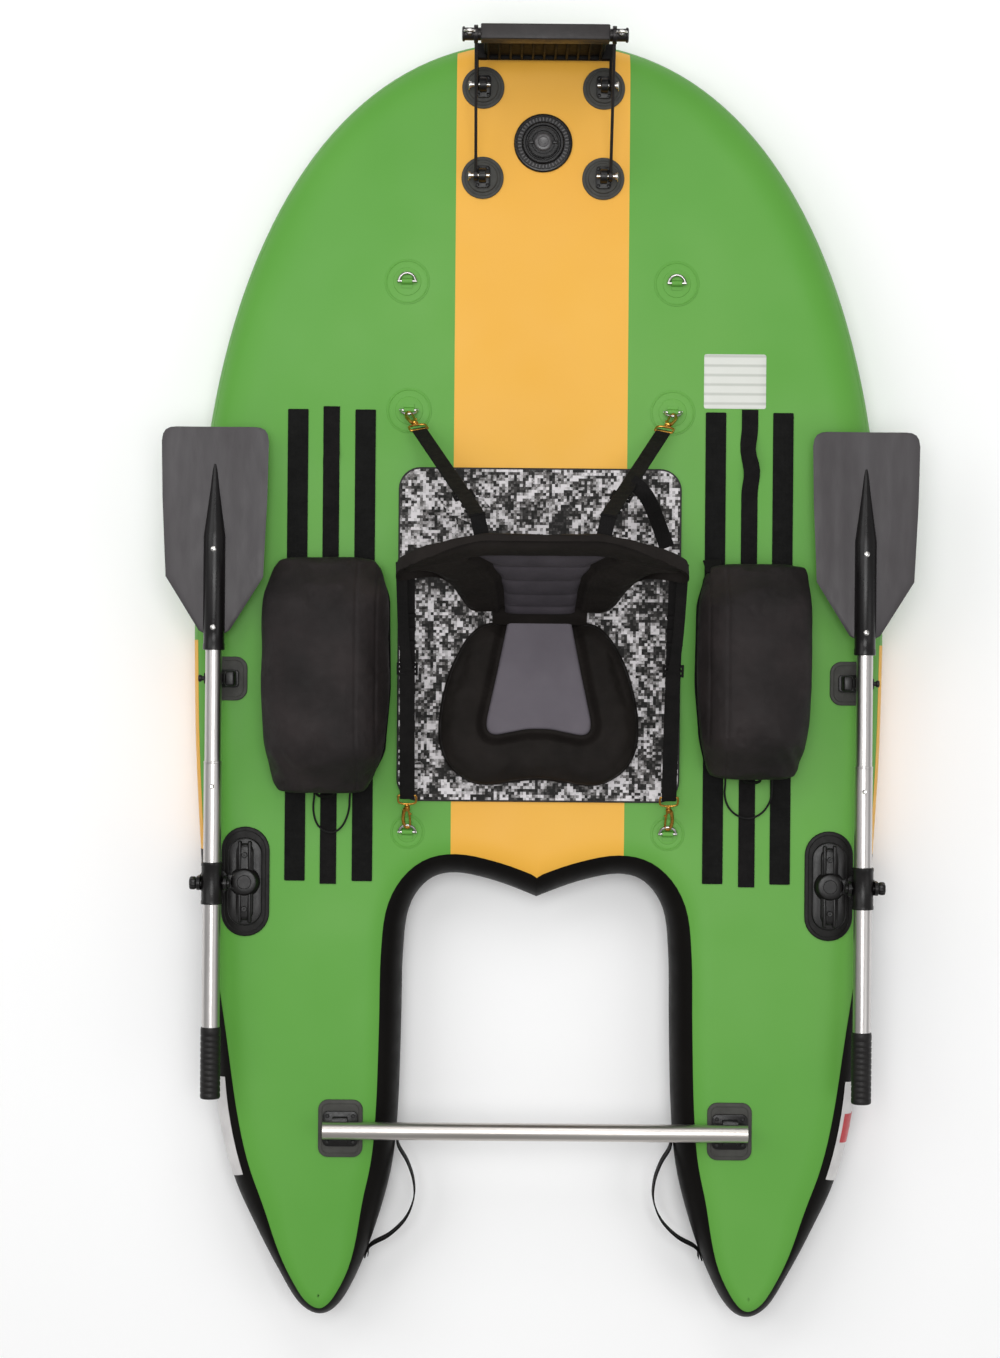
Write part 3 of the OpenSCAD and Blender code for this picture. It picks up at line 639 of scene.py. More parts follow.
def extruded(outline: Line, bottom: float, top: float, edge: float = 0.0, segments: int = 2) -> Mesh:
    """Extrude any outline upwards and round its upper and lower edges."""
    bm = bmesh.new()
    verts = [bm.verts.new((p.x, p.y, bottom)) for p in outline]
    base = bmesh.ops.contextual_create(bm, geom=verts)["faces"] or [bm.faces.new(verts)]
    made = bmesh.ops.extrude_face_region(bm, geom=base)["geom"]
    lifted = [g for g in made if isinstance(g, bmesh.types.BMVert)]
    bmesh.ops.translate(bm, vec=(0, 0, top - bottom), verts=lifted)
    bmesh.ops.recalc_face_normals(bm, faces=bm.faces)
    if edge:
        rims = [e for e in bm.edges if abs(e.verts[0].co.z - e.verts[1].co.z) < 1e-6]
        bmesh.ops.bevel(
            bm, geom=rims, offset=edge, offset_type="OFFSET", segments=segments, profile=0.5, affect="EDGES",
            material=-1,
        )
    return bm


def joined(parts: Sequence[Mesh]) -> Mesh:
    """Gather several meshes in one, and free them."""
    whole = bmesh.new()
    for part in parts:
        carrier = bpy.data.meshes.new("part")
        part.to_mesh(carrier)
        part.free()
        whole.from_mesh(carrier)
        bpy.data.meshes.remove(carrier)
    return whole


def flipped(bm: Mesh, side: Side) -> Mesh:
    """Mirror a starboard part to the given side."""
    if side is Side.LEFT:
        bmesh.ops.scale(bm, vec=(-1, 1, 1), verts=bm.verts)
        bmesh.ops.reverse_faces(bm, faces=bm.faces)
    return bm


def moved(bm: Mesh, offset: Sequence[float]) -> Mesh:
    """Shift a mesh."""
    bmesh.ops.translate(bm, vec=Vector(offset), verts=bm.verts)
    return bm


def rotated(bm: Mesh, angle: float, axis: Axis, centre: Sequence[float]) -> Mesh:
    """Turn a mesh by an angle in degrees about an axis through a centre."""
    turn = Matrix.Rotation(radians(angle), 3, Vector(axis.value))
    bmesh.ops.rotate(bm, cent=Vector(centre), matrix=turn, verts=bm.verts)
    return bm


def pair(make: Callable[[], Mesh]) -> Mesh:
    """Return a starboard part together with its mirror image."""
    return joined([flipped(make(), side) for side in Side])


def set_round(make: Callable[[], Mesh], copies: int, centre: Sequence[float]) -> list[Mesh]:
    """Return copies of a part made at the origin, spaced evenly round a centre."""
    return [moved(rotated(make(), 360 * k / copies, Axis.Z, (0, 0, 0)), centre) for k in range(copies)]


def solid(bm: Mesh, name: str, finish: Finish, sharp: float = 38.0) -> Piece:
    """Turn a mesh in millimetres to an object in metres, shaded smooth between its sharp edges.

    Args:
        bm: The finished mesh, which is freed.
        name: Name of the piece.
        finish: Its finish.
        sharp: Angle in degrees past which an edge stays sharp.

    Returns:
        The new object.
    """
    bmesh.ops.scale(bm, vec=(MM, MM, MM), verts=bm.verts)
    mesh = bpy.data.meshes.new(name)
    bm.to_mesh(mesh)
    bm.free()
    mesh.shade_smooth()
    mesh.set_sharp_from_angle(angle=radians(sharp))
    mesh.materials.append(finish.material())
    piece = bpy.data.objects.new(name, mesh)
    bpy.context.collection.objects.link(piece)
    return piece


def mount(piece: Piece, body: str, slot: str, *nodes: str) -> Piece:
    """Fix a piece to a body, hide the nodes that it stands for, and report it."""
    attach(piece, body)
    if nodes:
        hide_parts(*nodes)
    LOG.info("%s rides on %s", piece.name, body)
    return piece


def apply_modifiers(piece: Piece) -> None:
    """Replace a piece's mesh by what its modifiers make of it."""
    graph = bpy.context.evaluated_depsgraph_get()
    graph.update()
    result = bpy.data.meshes.new_from_object(piece.evaluated_get(graph), depsgraph=graph)
    piece.modifiers.clear()
    old = piece.data
    piece.data = result
    bpy.data.meshes.remove(old)


def shell(piece: Piece, thickness: float) -> Piece:
    """Give an open skin its thickness, inwards, and close its rim."""
    wall = piece.modifiers.new("wall", "SOLIDIFY")
    wall.thickness = thickness * MM
    wall.offset = -1.0
    wall.use_rim = True
    apply_modifiers(piece)
    piece.data.set_sharp_from_angle(angle=radians(38))
    return piece


@dataclass(frozen=True)
class Stuffing:
    """How a soft form is blown up by a cloth simulation."""

    pressure: float = 4.0
    cap: float = 8.0
    voxel: float = 5.0
    shrink: float = 0.0
    frames: int = 20
    bend: float = 0.5

    def fill(self, piece: Piece, free: Callable[[Vector], float]) -> None:
        """Remesh a closed form, inflate it, and keep each point's travel under the cap.

        Args:
            piece: The closed form, in metres. Its mesh is replaced.
            free: How far a point may travel, as a share of the cap, from its place in millimetres.
        """
        remesh = piece.modifiers.new("even", "REMESH")
        remesh.mode = "VOXEL"
        remesh.voxel_size = self.voxel * MM
        remesh.use_smooth_shade = True
        apply_modifiers(piece)
        start = [v.co.copy() for v in piece.data.vertices]
        cloth = piece.modifiers.new("cloth", "CLOTH")
        settings = cloth.settings
        settings.quality = 5
        settings.use_pressure = True
        settings.uniform_pressure_force = self.pressure
        settings.effector_weights.gravity = 0.0
        settings.shrink_min = self.shrink
        settings.bending_stiffness = self.bend
        settings.tension_stiffness = settings.compression_stiffness = 12
        cloth.collision_settings.use_collision = False
        cloth.point_cache.frame_start, cloth.point_cache.frame_end = 1, self.frames
        scene = bpy.context.scene
        for frame_number in range(1, self.frames + 1):
            scene.frame_set(frame_number)
        apply_modifiers(piece)
        scene.frame_set(1)
        for vert, origin in zip(piece.data.vertices, start):
            travel = vert.co - origin
            limit = self.cap * MM * free(origin / MM)
            if travel.length > limit:
                vert.co = origin + travel * (limit / max(travel.length, 1e-9))


def soften(piece: Piece, levels: int) -> None:
    """Subdivide a soft form and keep the result."""
    surface = piece.modifiers.new("surface", "SUBSURF")
    surface.levels = surface.render_levels = levels
    apply_modifiers(piece)


def reshape(piece: Piece, shift: Callable[[Vector], Vector]) -> None:
    """Move each point of a piece by a field, both in millimetres, and shade the piece smooth."""
    for vert in piece.data.vertices:
        vert.co += shift(vert.co / MM) * MM
    piece.data.shade_smooth()
    piece.data.update()


def set_finish(piece: Piece, finish: Finish) -> None:
    """Give a piece one finish all over."""
    piece.data.materials.clear()
    piece.data.materials.append(finish.material())


def distance_to(line: Line) -> Callable[[float, float], float]:
    """Return a function that tells a place's level distance from a line of points."""
    tree = KDTree(len(line))
    for i, point in enumerate(line):
        tree.insert(Vector((point.x, point.y, 0)), i)
    tree.balance()
    return lambda x, y: tree.find(Vector((x, y, 0)))[2]


# ---- hull


@dataclass
class Rim:
    """The hull's plan outline and the rounded section of its edge."""

    half_width: float = 595
    half_length: float = 1100
    bow_y: float = 60
    bow_power: float = 2.3
    half_height: float = 75
    roundness: float = 2.4
    slim_share: float = 0.5
    slim_start: float = -880
    slim_span: float = 160
    bow_steps: int = 44
    side_steps: int = 5
    middle_spans: int = 2
    side_points: Points = (
        (595, 60), (591, -120), (581, -300), (571, -450), (560, -600), (547, -746), (520, -862), (480, -950),
        (440, -1024), (405, -1080), (368, -1100), (334, -1082), (300, -1020), (268, -930), (246, -840),
        (237, -740),
        (233, -600), (231, -480), (221, -400), (188, -352), (140, -338), (70, -352), (0, -378),
    )
    points: list[Vector] = field(default_factory=list)

    def __post_init__(self) -> None:
        """Work out the outline's points, from the bow round by starboard."""
        bow = []
        for k in range(self.bow_steps):
            a = pi / 2 * k / self.bow_steps
            x = self.half_width * sin(a) ** (2 / self.bow_power)
            y = self.bow_y + (self.half_length - self.bow_y) * cos(a) ** (2 / self.bow_power)
            bow.append(Vector((x, y, 0)))
        self.points = both_sides(bow + catmull(self.side_points, self.side_steps))
        dense = [
            p.lerp(q, k / 8) for p, q in zip(self.points, self.points[1:] + self.points[:1]) for k in range(8)
        ]
        self.distance = distance_to(dense)
        self.tip = min(range(self.count // 2), key=lambda i: self.points[i].y)

    @property
    def count(self) -> int:
        """Number of points of the outline."""
        return len(self.points)

    @property
    def middle_end(self) -> int:
        """Index at which the middle side wall meets the stern wall."""
        return self.bow_steps + self.middle_spans * self.side_steps

    def at(self, i: int) -> Vector:
        """Return a point of the outline, counted round."""
        return self.points[i % self.count]

    def inward(self, i: int) -> Vector:
        """Return the level direction into the hull at a point."""
        t = self.at(i + 1) - self.at(i - 1)
        return Vector((t.y, -t.x, 0)).normalized()

    def reach(self, y: float) -> float:
        """Return how far in from the outline the edge is rounded."""
        slim = ramp((self.slim_start - y) / self.slim_span)
        return self.half_height * (1 - (1 - self.slim_share) * slim)

    def height(self, x: float, y: float) -> float:
        """Return the height of the deck at a place."""
        share = 1 - min(self.distance(x, y) / self.reach(y), 1)
        return self.half_height * (1 + max(1 - share**self.roundness, 0) ** (1 / self.roundness))

    def drape(self, *parts: Mesh) -> list[Mesh]:
        """Lay flat parts on the rounded deck."""
        for part in parts:
            for v in part.verts:
                v.co.z += self.height(v.co.x, v.co.y)
        return list(parts)

    def section(self, i: int, angle: float, lift: float = 0.0) -> Vector:
        """Return a point of the rounded edge.

        Args:
            i: Point of the outline.
            angle: Angle up from the widest line, in degrees from -90 to 90.
            lift: Height above the surface.
        """
        a = radians(angle)
        c, s = cos(a), sin(a)
        reach = self.reach(self.at(i).y)
        inset = reach * (1 - abs(c) ** (2 / self.roundness))
        z = self.half_height * (1 + copysign(abs(s) ** (2 / self.roundness), s))
        place = self.at(i) + self.inward(i) * (inset - lift * c)
        start = self.at(i).x
        if start and place.x * start < (0.15 * start) ** 2:
            place.x = 0.15 * start
        if inset > 0.4 * reach:
            top = self.height(*place.xy)
            z = top if s > 0 else 2 * self.half_height - top
        return Vector((place.x, place.y, z + lift * s))

    def ring(self, angle: float, lift: float = 0.0) -> list[Vector]:
        """Return the whole round of the edge at one angle."""
        return [self.section(i, angle, lift) for i in range(self.count)]


@dataclass
class Hull:
    """The inflated hull: its core, its two skins, its stripe, its four side walls and its stickers."""

    rim: Rim
    bottom_seam: float = 60
    bay_seam: float = 60
    outer_seam: float = 30
    tail_seam: float = 62
    overlap: float = 4
    flat_margin: float = 5
    cloth: float = 1.2
    stripe_half: float = 148
    valve_y: float = 912
    valve_hole: float = 27
    valve_depth: float = 66
    label_at: Pair = (331, 508)
    label_size: Pair = (106, 93)
    patch_y: Pair = (-868, -664)
    red_y: Pair = (-815, -735)

    def fill(self, bm: Mesh, height: float, hole: bool) -> None:
        """Fill the flat middle of a skin, leaving the valve's hole if asked."""
        edges = [e for e in bm.edges if e.is_boundary and all(abs(v.co.z - height) < 1.5 for v in e.verts)]
        if hole:
            made = bmesh.ops.create_circle(
                bm, segments=48, radius=self.valve_hole, matrix=Matrix.Translation((0, self.valve_y, height))
            )["verts"]
            edges += list({e for v in made for e in v.link_edges})
        bmesh.ops.triangle_fill(bm, edges=edges, use_beauty=True, use_dissolve=False)

    def seam(self, i: int) -> float:
        """Return the angle where deck and side wall meet: low along the outside, higher round the leg bay."""
        j = i % self.rim.count
        j = min(j, self.rim.count - j)
        outside = self.outer_seam + (self.tail_seam - self.outer_seam) * ramp((-260 - self.rim.at(j).y) / 520)
        return outside + (self.bay_seam - outside) * ramp((j - self.rim.tip) / 14)

    def skin_mesh(self, upper: bool) -> Mesh:
        """Return the upper or the lower skin as an open surface facing out."""
        sign = 1 if upper else -1
        steps = 16
        rows = []
        for k in range(steps + 1):
            row = []
            for i in range(self.rim.count):
                start = (self.seam(i) if upper else self.bottom_seam) - self.overlap
                row.append(self.rim.section(i, sign * (start + (90 - start) * k / steps)))
            rows.append(row)
        rows.append([p + self.rim.inward(i) * self.flat_margin for i, p in enumerate(rows[-1])])
        bm = loft(rows, capped=False)
        self.fill(bm, 2 * self.rim.half_height if upper else 0, hole=upper)
        bmesh.ops.recalc_face_normals(bm, faces=bm.faces)
        bm.normal_update()
        widest = max(bm.faces, key=lambda f: f.calc_area())
        if widest.normal.z * sign < 0:
            bmesh.ops.reverse_faces(bm, faces=bm.faces)
        return bm

    def skin(self, bm: Mesh, name: str, finish: Finish) -> Piece:
        """Give a skin its wall and keep it inside the hull's height."""
        piece = shell(solid(bm, name, finish), self.cloth)
        for vert in piece.data.vertices:
            vert.co.z = min(max(vert.co.z, 0.0), 2 * self.rim.half_height * MM)
        return piece

    def cut(self, bm: Mesh, x: float, keep_low: bool) -> None:
        """Cut a skin along a fore-and-aft line and keep one side of it."""
        geom = bm.verts[:] + bm.edges[:] + bm.faces[:]
        bmesh.ops.bisect_plane(
            bm, geom=geom, dist=1e-4, plane_co=(x, 0, 0), plane_no=(1, 0, 0), clear_outer=keep_low,
            clear_inner=not keep_low,
        )

    def skins(self) -> None:
        """Build the deck, its stripe and the bottom."""
        stripe = self.skin_mesh(upper=True)
        self.cut(stripe, self.stripe_half, keep_low=True)
        self.cut(stripe, -self.stripe_half, keep_low=False)
        mount(self.skin(stripe, "deck_stripe_skin", YELLOW_PVC), "hull", "pvc_yellow", "deck_stripe")
        halves = []
        for side in Side:
            half = self.skin_mesh(upper=True)
            self.cut(half, side.value * self.stripe_half, keep_low=side is Side.LEFT)
            halves.append(half)
        mount(self.skin(joined(halves), "deck_skin", GREEN_PVC), "hull", "pvc_green", "upper_skin")
        mount(self.skin(self.skin_mesh(upper=False), "bottom_skin", BLACK_PVC), "hull", "pvc_black",
              "lower_skin")

    def core(self) -> None:
        """Build the drop-stitch core inside the skins, with the pocket that the valve sits in."""
        inside = -3.2
        angles = [-90, -80, -70, -60, -45, -30, -15, 0, 15, 30, 45, 60, 70, 80, 90]
        bm = loft([self.rim.ring(a, inside) for a in angles], capped=False)
        self.fill(bm, -inside, hole=False)
        self.fill(bm, 2 * self.rim.half_height + inside, hole=True)
        mouth = [e for e in bm.edges if e.is_boundary]
        deep = bmesh.ops.extrude_edge_only(bm, edges=mouth)["geom"]
        lowered = [g for g in deep if isinstance(g, bmesh.types.BMVert)]
        bmesh.ops.translate(bm, vec=(0, 0, -self.valve_depth), verts=lowered)
        bmesh.ops.contextual_create(bm, geom=[e for e in bm.edges if e.is_boundary])
        bmesh.ops.recalc_face_normals(bm, faces=bm.faces)
        mount(solid(bm, "hull_core", DROP_STITCH), "hull", "drop_threads", "drop_stitch_core")

    def wall(
        self, name: str, run: tuple[int, int], angles: Callable[[int], Sequence[float]], lift: float,
        skin: float,
        finish: Finish,
    ) -> Piece:
        """Build a skin that follows the rounded edge.

        Args:
            name: Name of the piece.
            run: First and last point of the outline.
            angles: Angles up from the widest line, for a point of the outline.
            lift: Height above the surface.
            skin: Thickness.
            finish: Finish of the piece.

        Returns:
            The new piece.
        """
        start, end = run
        rows = [[self.rim.section(i, a, lift) for a in angles(i)] for i in range(start, end + 1)]
        bm = loft(rows, closed=False)
        bm.normal_update()
        face = next(iter(bm.faces))
        middle = face.calc_center_median()
        outward = Vector((middle.x, middle.y, 0)) - self.rim.at(start) - self.rim.inward(start) * 20
        if face.normal.dot(outward + Vector((0, 0, middle.z - self.rim.half_height))) < 0:
            bmesh.ops.reverse_faces(bm, faces=bm.faces)
        return shell(solid(bm, name, finish, sharp=60), skin)

    def wall_angles(self, i: int) -> list[float]:
        """Return the angles of a side wall, from its lower seam to its upper one."""
        steps = 18
        low, high = -self.bottom_seam - self.overlap / 2, self.seam(i) + self.overlap / 2
        return [low + (high - low) * k / steps for k in range(steps + 1)]

    def walls(self) -> None:
        """Build the four side walls, whose upper edges lap over the deck."""
        bow, middle, count = self.rim.bow_steps, self.rim.middle_end, self.rim.count
        runs = {
            "side_wall_bow": (-bow, bow, GREEN_PVC, "pvc_green", 0.35),
            "side_wall_right": (bow, middle, YELLOW_PVC, "pvc_yellow", 0.5),
            "side_wall_stern": (middle, count - middle, BLACK_PVC, "pvc_black", 0.7),
            "side_wall_left": (count - middle, count - bow, YELLOW_PVC, "pvc_yellow", 0.5),
        }
        for node, (start, end, finish, slot, lap) in runs.items():
            piece = self.wall(f"{node}_skin", (start, end), self.wall_angles, lap, self.cloth, finish)
            mount(piece, "hull", slot, node)

    def indices(self, low: float, high: float) -> tuple[int, int]:
        """Return the outline points on the outer starboard side between two Y values."""
        outer = [i for i in range(self.rim.middle_end, self.rim.count // 2)
                 if low <= self.rim.at(i).y <= high and self.rim.at(i).x > 360]
        return min(outer), max(outer)

    def stickers(self) -> None:
        """Build the plain label on the deck and the plain colour patches on the tails."""
        deck = 2 * self.rim.half_height
        label = cushion_plate(rounded_rect(*self.label_size, 4, self.label_at), deck + 0.05, deck + 0.75, 0.3)
        mount(solid(label, "deck_label", LABEL), "hull", "trim_white", "trim_patches")
        count = self.rim.count
        start, end = self.indices(*self.patch_y)
        red_start, red_end = self.indices(*self.red_y)
        spots = {
            "tail_patch_right": ((start, end), 2.0, 10, WHITE_PVC),
            "tail_patch_left": ((count - end, count - start), 2.0, 10, WHITE_PVC),
            "tail_block_right": ((red_start, red_end), 2.9, 9, RED_PVC),
        }
        for name, (run, lift, steps, finish) in spots.items():
            angles = [-15 + 7.2 * k for k in range(steps)]
            mount(self.wall(name, run, lambda i, a=angles: a, lift, 0.8, finish), "hull", "trim_white")

    def build(self) -> None:
        """Build the whole hull."""
        self.core()
        self.skins()
        self.walls()
        self.stickers()


@dataclass
class Valve:
    """Inflation valve: a ridged flange round a capped neck."""

    y: float = 912
    deck: float = 150
    bore: float = 21
    floor: float = 100
    notches: int = 44
    spring_turns: int = 5
    spring_r: float = 5.2
    spring_wire: float = 0.8
    spring_z: Pair = (115.2, 138.8)

    @property
    def centre(self) -> Triple:
        """Return the valve's middle on the deck."""
        return 0, self.y, self.deck

    def flange(self) -> Mesh:
        """Return the flange and neck, turned in one piece."""
        d = self.floor - self.deck
        profile = [
            (self.bore, d), (26.6, d), (26.6, 0.3), (50, 0.3), (50, 2.4), (49, 3.8), (47.4, 4.6), (45.2, 4.6),
            (44.4, 3.8), (36.6, 3.8), (35.4, 5.4), (33.6, 7), (30.5, 7), (29, 4.4), (27.4, 4.4), (26.6, 7),
            (self.bore, 7),
        ]
        return turned(profile, self.centre, steps=96)

    def ridges(self) -> Mesh:
        """Return the ring of short grip ridges on the flange."""
        return joined(set_round(lambda: block((6.4, 2.6, 2.2), (40.6, 0, 4.4), 0.5, 1), self.notches,
                                self.centre))

    def cap(self) -> Mesh:
        """Return the cap: a plug, a dished top, a raised middle and two finger tabs."""
        plug = [(0, -3), (self.bore - 0.1, -3), (self.bore - 0.1, 7.3), (25.4, 7.3), (26, 8), (26, 10.3),
                (25, 11.2),
                (20, 11.2), (19, 9.6), (9, 9.6), (9, 11), (0, 11)]
        tabs = set_round(lambda: block((9, 6, 4.4), (20, 0, 11.6), 1.2, 3), 2, self.centre)
        ribs = set_round(lambda: block((1.4, 2.2, 3), (25.6, 0, 9.2), 0.4, 1), 24, self.centre)
        return joined([turned(plug, self.centre, steps=72), *tabs, *ribs])

    def button(self) -> Mesh:
        """Return the grey grip in the middle of the cap."""
        profile = [(0, 8), (14.6, 8), (15, 8.6), (15, 13), (14, 14.4), (12, 15), (9, 15), (8, 14), (4, 13.6),
                   (0, 13.6)]
        return turned(profile, self.centre, steps=56)

    def inside(self) -> Mesh:
        """Return the spider that guides the valve's stem, across the neck."""
        stem, hub = 3.05, 7
        centre = (0, self.y, self.floor + 10)
        size, middle = (self.bore - hub + 2, 4, 4), ((self.bore + hub) / 2, 0, 2)
        arms = set_round(lambda: block(size, middle, 0.4, 1), 6, centre)
        return joined([turned([(stem, 0), (hub, 0), (hub, 4), (stem, 4)], centre), *arms])

    def spring(self) -> None:
        """Build the poppet's coil spring."""
        (low, high), r, wire, steps = self.spring_z, self.spring_r, self.spring_wire, 120
        turns = [tau * self.spring_turns * k / steps for k in range(steps + 1)]
        coil = [Vector((r * cos(a), self.y + r * sin(a), low + (high - low) * k / steps))
                for k, a in enumerate(turns)]
        piece = mount(solid(tube(coil, wire, 10), "valve_coil", STAINLESS), "hull", "stainless",
                      "valve_spring")
        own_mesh(piece)

    def build(self) -> None:
        """Build the valve's pieces and dress the moving ones."""
        mount(solid(self.flange(), "valve_flange", VALVE_PLASTIC), "hull", "valve_black", "valve_body")
        # The ridges' lighter grey is a painted highlight on their tops.
        mount(solid(self.ridges(), "valve_ridges", VALVE_GREY_AND_PAINTED_HIGHLIGHT), "hull", "valve_black")
        mount(solid(self.inside(), "valve_spider", VALVE_PLASTIC), "hull", "valve_black")
        mount(solid(self.cap(), "valve_cap_cover", VALVE_PLASTIC), "valve_cap", "valve_black", "valve_cap")
        mount(solid(self.button(), "valve_cap_grip", VALVE_GREY_AND_PAINTED_HIGHLIGHT), "valve_cap", "valve_black")
        set_finish(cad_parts["valve_poppet"], VALVE_PLASTIC)
        self.spring()


# ---- bow


@dataclass
class MotorBracket:
    """Clamping board for a small outboard on four welded feet, held up by a cross tube and two stays."""

    rim: Rim
    foot_x: float = 103
    foot_y: Pair = (1006, 852)
    foot_top: float = 158
    pin_z: float = 174
    board: Triple = (204, 26, 154)
    board_y: float = 1049
    board_z: float = 165
    ribs: int = 10
    pitch: float = 19
    tube_r: float = 10.5
    tube_l: float = 268
    lug_x: float = 111
    lug_t: float = 7
    pin_r: float = 3.05
    knob_x: float = 125

    @property
    def tube_at(self) -> Pair:
        """Return the Y and Z of the cross tube."""
        return self.board_y + 13, self.board_z + self.board[2] - 23

    def pads(self) -> None:
        """Build the four round rubber pads, which follow the deck."""
        parts = []
        for side in Side:
            for y in self.foot_y:
                x = side.value * self.foot_x
                skirt = cushion_plate(circle(36, (x, y), 56), 0, 3.6, 1.4, rings=3)
                self.rim.drape(skirt)
                crown = cushion_plate(circle(26, (x, y), 48), 150.5, self.foot_top - 0.1, 2.2, rings=2)
                groove = tube([p + Vector((0, 0, 153.9)) for p in circle(30.5, (x, y), 48)], 0.9, 6,
                              looped=True)
                parts += [skirt, crown, groove]
        mount(solid(joined(parts), "bracket_pads", RUBBER), "hull", "rubber_black", "mount_pads")

    def feet(self) -> None:
        """Build the four moulded feet with the eyes that the pins run through."""
        parts = []
        for side in Side:
            for y in self.foot_y:
                base = extruded(rounded_rect(26, 38, 6), self.foot_top, self.foot_top + 6, 1.2)
                web = block((12, 22, 12), (0, 0, self.foot_top + 9), 1.2)
                eye = turned(bush(self.pin_r, 12, -6, 6, 1), (0, 0, self.pin_z), Axis.X, 40)
                screws = [turned([(0, 0), (3, 0), (3, 1.2), (2.2, 1.8), (0, 1.8)],
                                 (sx * 8.5, sy * 14.5, self.foot_top + 6),
                                 steps=16) for sx in (-1, 1) for sy in (-1, 1)]
                foot = joined([base, web, eye, *screws])
                parts.append(moved(foot, (side.value * self.foot_x, y, 0)))
        mount(solid(joined(parts), "bracket_feet", NYLON), "hull", "bracket_black", "mount_feet")

    def board_piece(self) -> None:
        """Build the board with its ribs, its top lip and the two arms to the front feet."""
        w, t, h = self.board
        top, y = self.board_z + h, self.board_y + t / 2
        lip_h, foot_h = 34, 10
        # The board is drawn in two tones: the grey lip is painted light on its lit top, and the black ribbed
        # body is painted shade on the front below it.
        lip = block((w + 9, t, lip_h), (0, y, top - lip_h / 2), 2.5, 3)
        mount(solid(lip, "motor_board_lip", NYLON_GREY_AND_PAINTED_LIT_TOP), "hull", "bracket_black")
        parts = [block((w, t - 7, h - 3), (0, y + 3, self.board_z + h / 2 - 1), 2.5, 3)]
        parts.append(block((w + 1, t - 0.6, foot_h), (0, y, self.board_z + foot_h / 2 - 0.3), 2.5, 3))
        for k in range(self.ribs + 1):
            x = (k - self.ribs / 2) * self.pitch
            tall = h - lip_h - foot_h + 4
            parts.append(block((4, 7.4, tall), (x, self.board_y + 4.2, self.board_z + foot_h - 2 + tall / 2),
                               1.1))
        for side in Side:
            arm_y = (self.board_y + self.foot_y[0]) / 2
            x = side.value * (self.lug_x + self.lug_t / 2)
            length = self.board_y - self.foot_y[0] + 26
            parts.append(block((self.lug_t, length, 18), (x, arm_y + 13, self.pin_z), 1.8, 3))
            parts.append(turned([(self.pin_r, -3.5), (8.6, -3.5), (9, -3), (9, 3), (8.6, 3.5),
                                 (self.pin_r, 3.5)],
                                (x, self.foot_y[0], self.pin_z), Axis.X, 36))
            parts.append(block((18, t, 18), (side.value * 106, y, self.pin_z), 1.8, 3))
        mount(solid(joined(parts), "motor_board", NYLON_DULL), "hull", "bracket_black", "mount_board")

    def tube_piece(self) -> None:
        """Build the cross tube, a real tube with rolled ends."""
        half, r, inner = self.tube_l / 2, self.tube_r, self.tube_r - 2
        y, z = self.tube_at
        plug = [(0, 0), (inner, 0), (r + 1.2, 0), (r + 1.8, 0.8), (r + 1.8, 3.2), (r, 4.5), (0, 4.8)]
        caps = pair(lambda: turned(plug, (half - 1.0, y, z), Axis.X, 40))
        bar = turned(bush(inner, r, -half, half, 0.8), (0, y, z), Axis.X)
        mount(solid(bar, "bracket_tube", DARK_METAL), "hull", "brace_grey", "mount_tube")
        mount(solid(caps, "bracket_tube_plugs", NYLON), "hull", "bracket_black")

    def stay(self) -> Mesh:
        """Return the starboard stay: a pressed bar with an eye at each end."""
        x = self.lug_x + self.lug_t / 2
        low, high = Vector((x, self.foot_y[1], self.pin_z)), Vector((x, *self.tube_at))
        way = (high - low).normalized()
        rod = band([low + way * 7, low.lerp(high, 0.5), high - way * 11], 10, 5, Vector((0, way.z, -way.y)))
        ends = [turned(bush(r_in, r_out, -3.4, 3.4, 0.6), p, Axis.X, 40)
                for p, r_out, r_in in ((low, 9, self.pin_r), (high, 15, self.tube_r + 0.05))]
        return joined([rod, *ends])

    def stays(self) -> None:
        """Build the two stays."""
        mount(solid(pair(self.stay), "bracket_stays", DARK_METAL), "hull", "bracket_black", "mount_stays")

    def knob(self, side: Side) -> None:
        """Build one wing screw at the end of the cross tube."""
        y, z = self.tube_at
        stem = turned([(0, 2), (3, 2), (3, self.tube_r + 1), (5, self.tube_r + 1), (5.4, self.tube_r + 2),
                       (5, 19.5),
                       (4, 20.5), (0, 20.5)], (0, 0, 0), steps=32)
        wing_outline = [(-9, 18), (-9.6, 23), (-8, 28.2), (-4.5, 28.4), (-2.4, 24), (0, 21.5)]
        wing = extruded(both_sides(catmull(wing_outline[::-1], 3)), -1.5, 1.5, 0.7)
        turn = Matrix.Rotation(pi / 2, 4, "X")
        bmesh.ops.transform(wing, matrix=turn, verts=wing.verts)
        knob = moved(joined([stem, wing]), (side.value * self.knob_x, y, z))
        body = f"clamp_knob_{side.label}"
        mount(solid(knob, f"wing_screw_{side.label}", STAINLESS), body, "stainless", body)

    def build(self) -> None:
        """Build the bracket and dress its pins."""
        self.pads()
        self.feet()
        self.board_piece()
        self.tube_piece()
        self.stays()
        for side in Side:
            self.knob(side)
            for end in ("front", "rear"):
                set_finish(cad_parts[f"mount_pin_{end}_{side.label}"], STAINLESS)


# ---- rings, hooks and straps


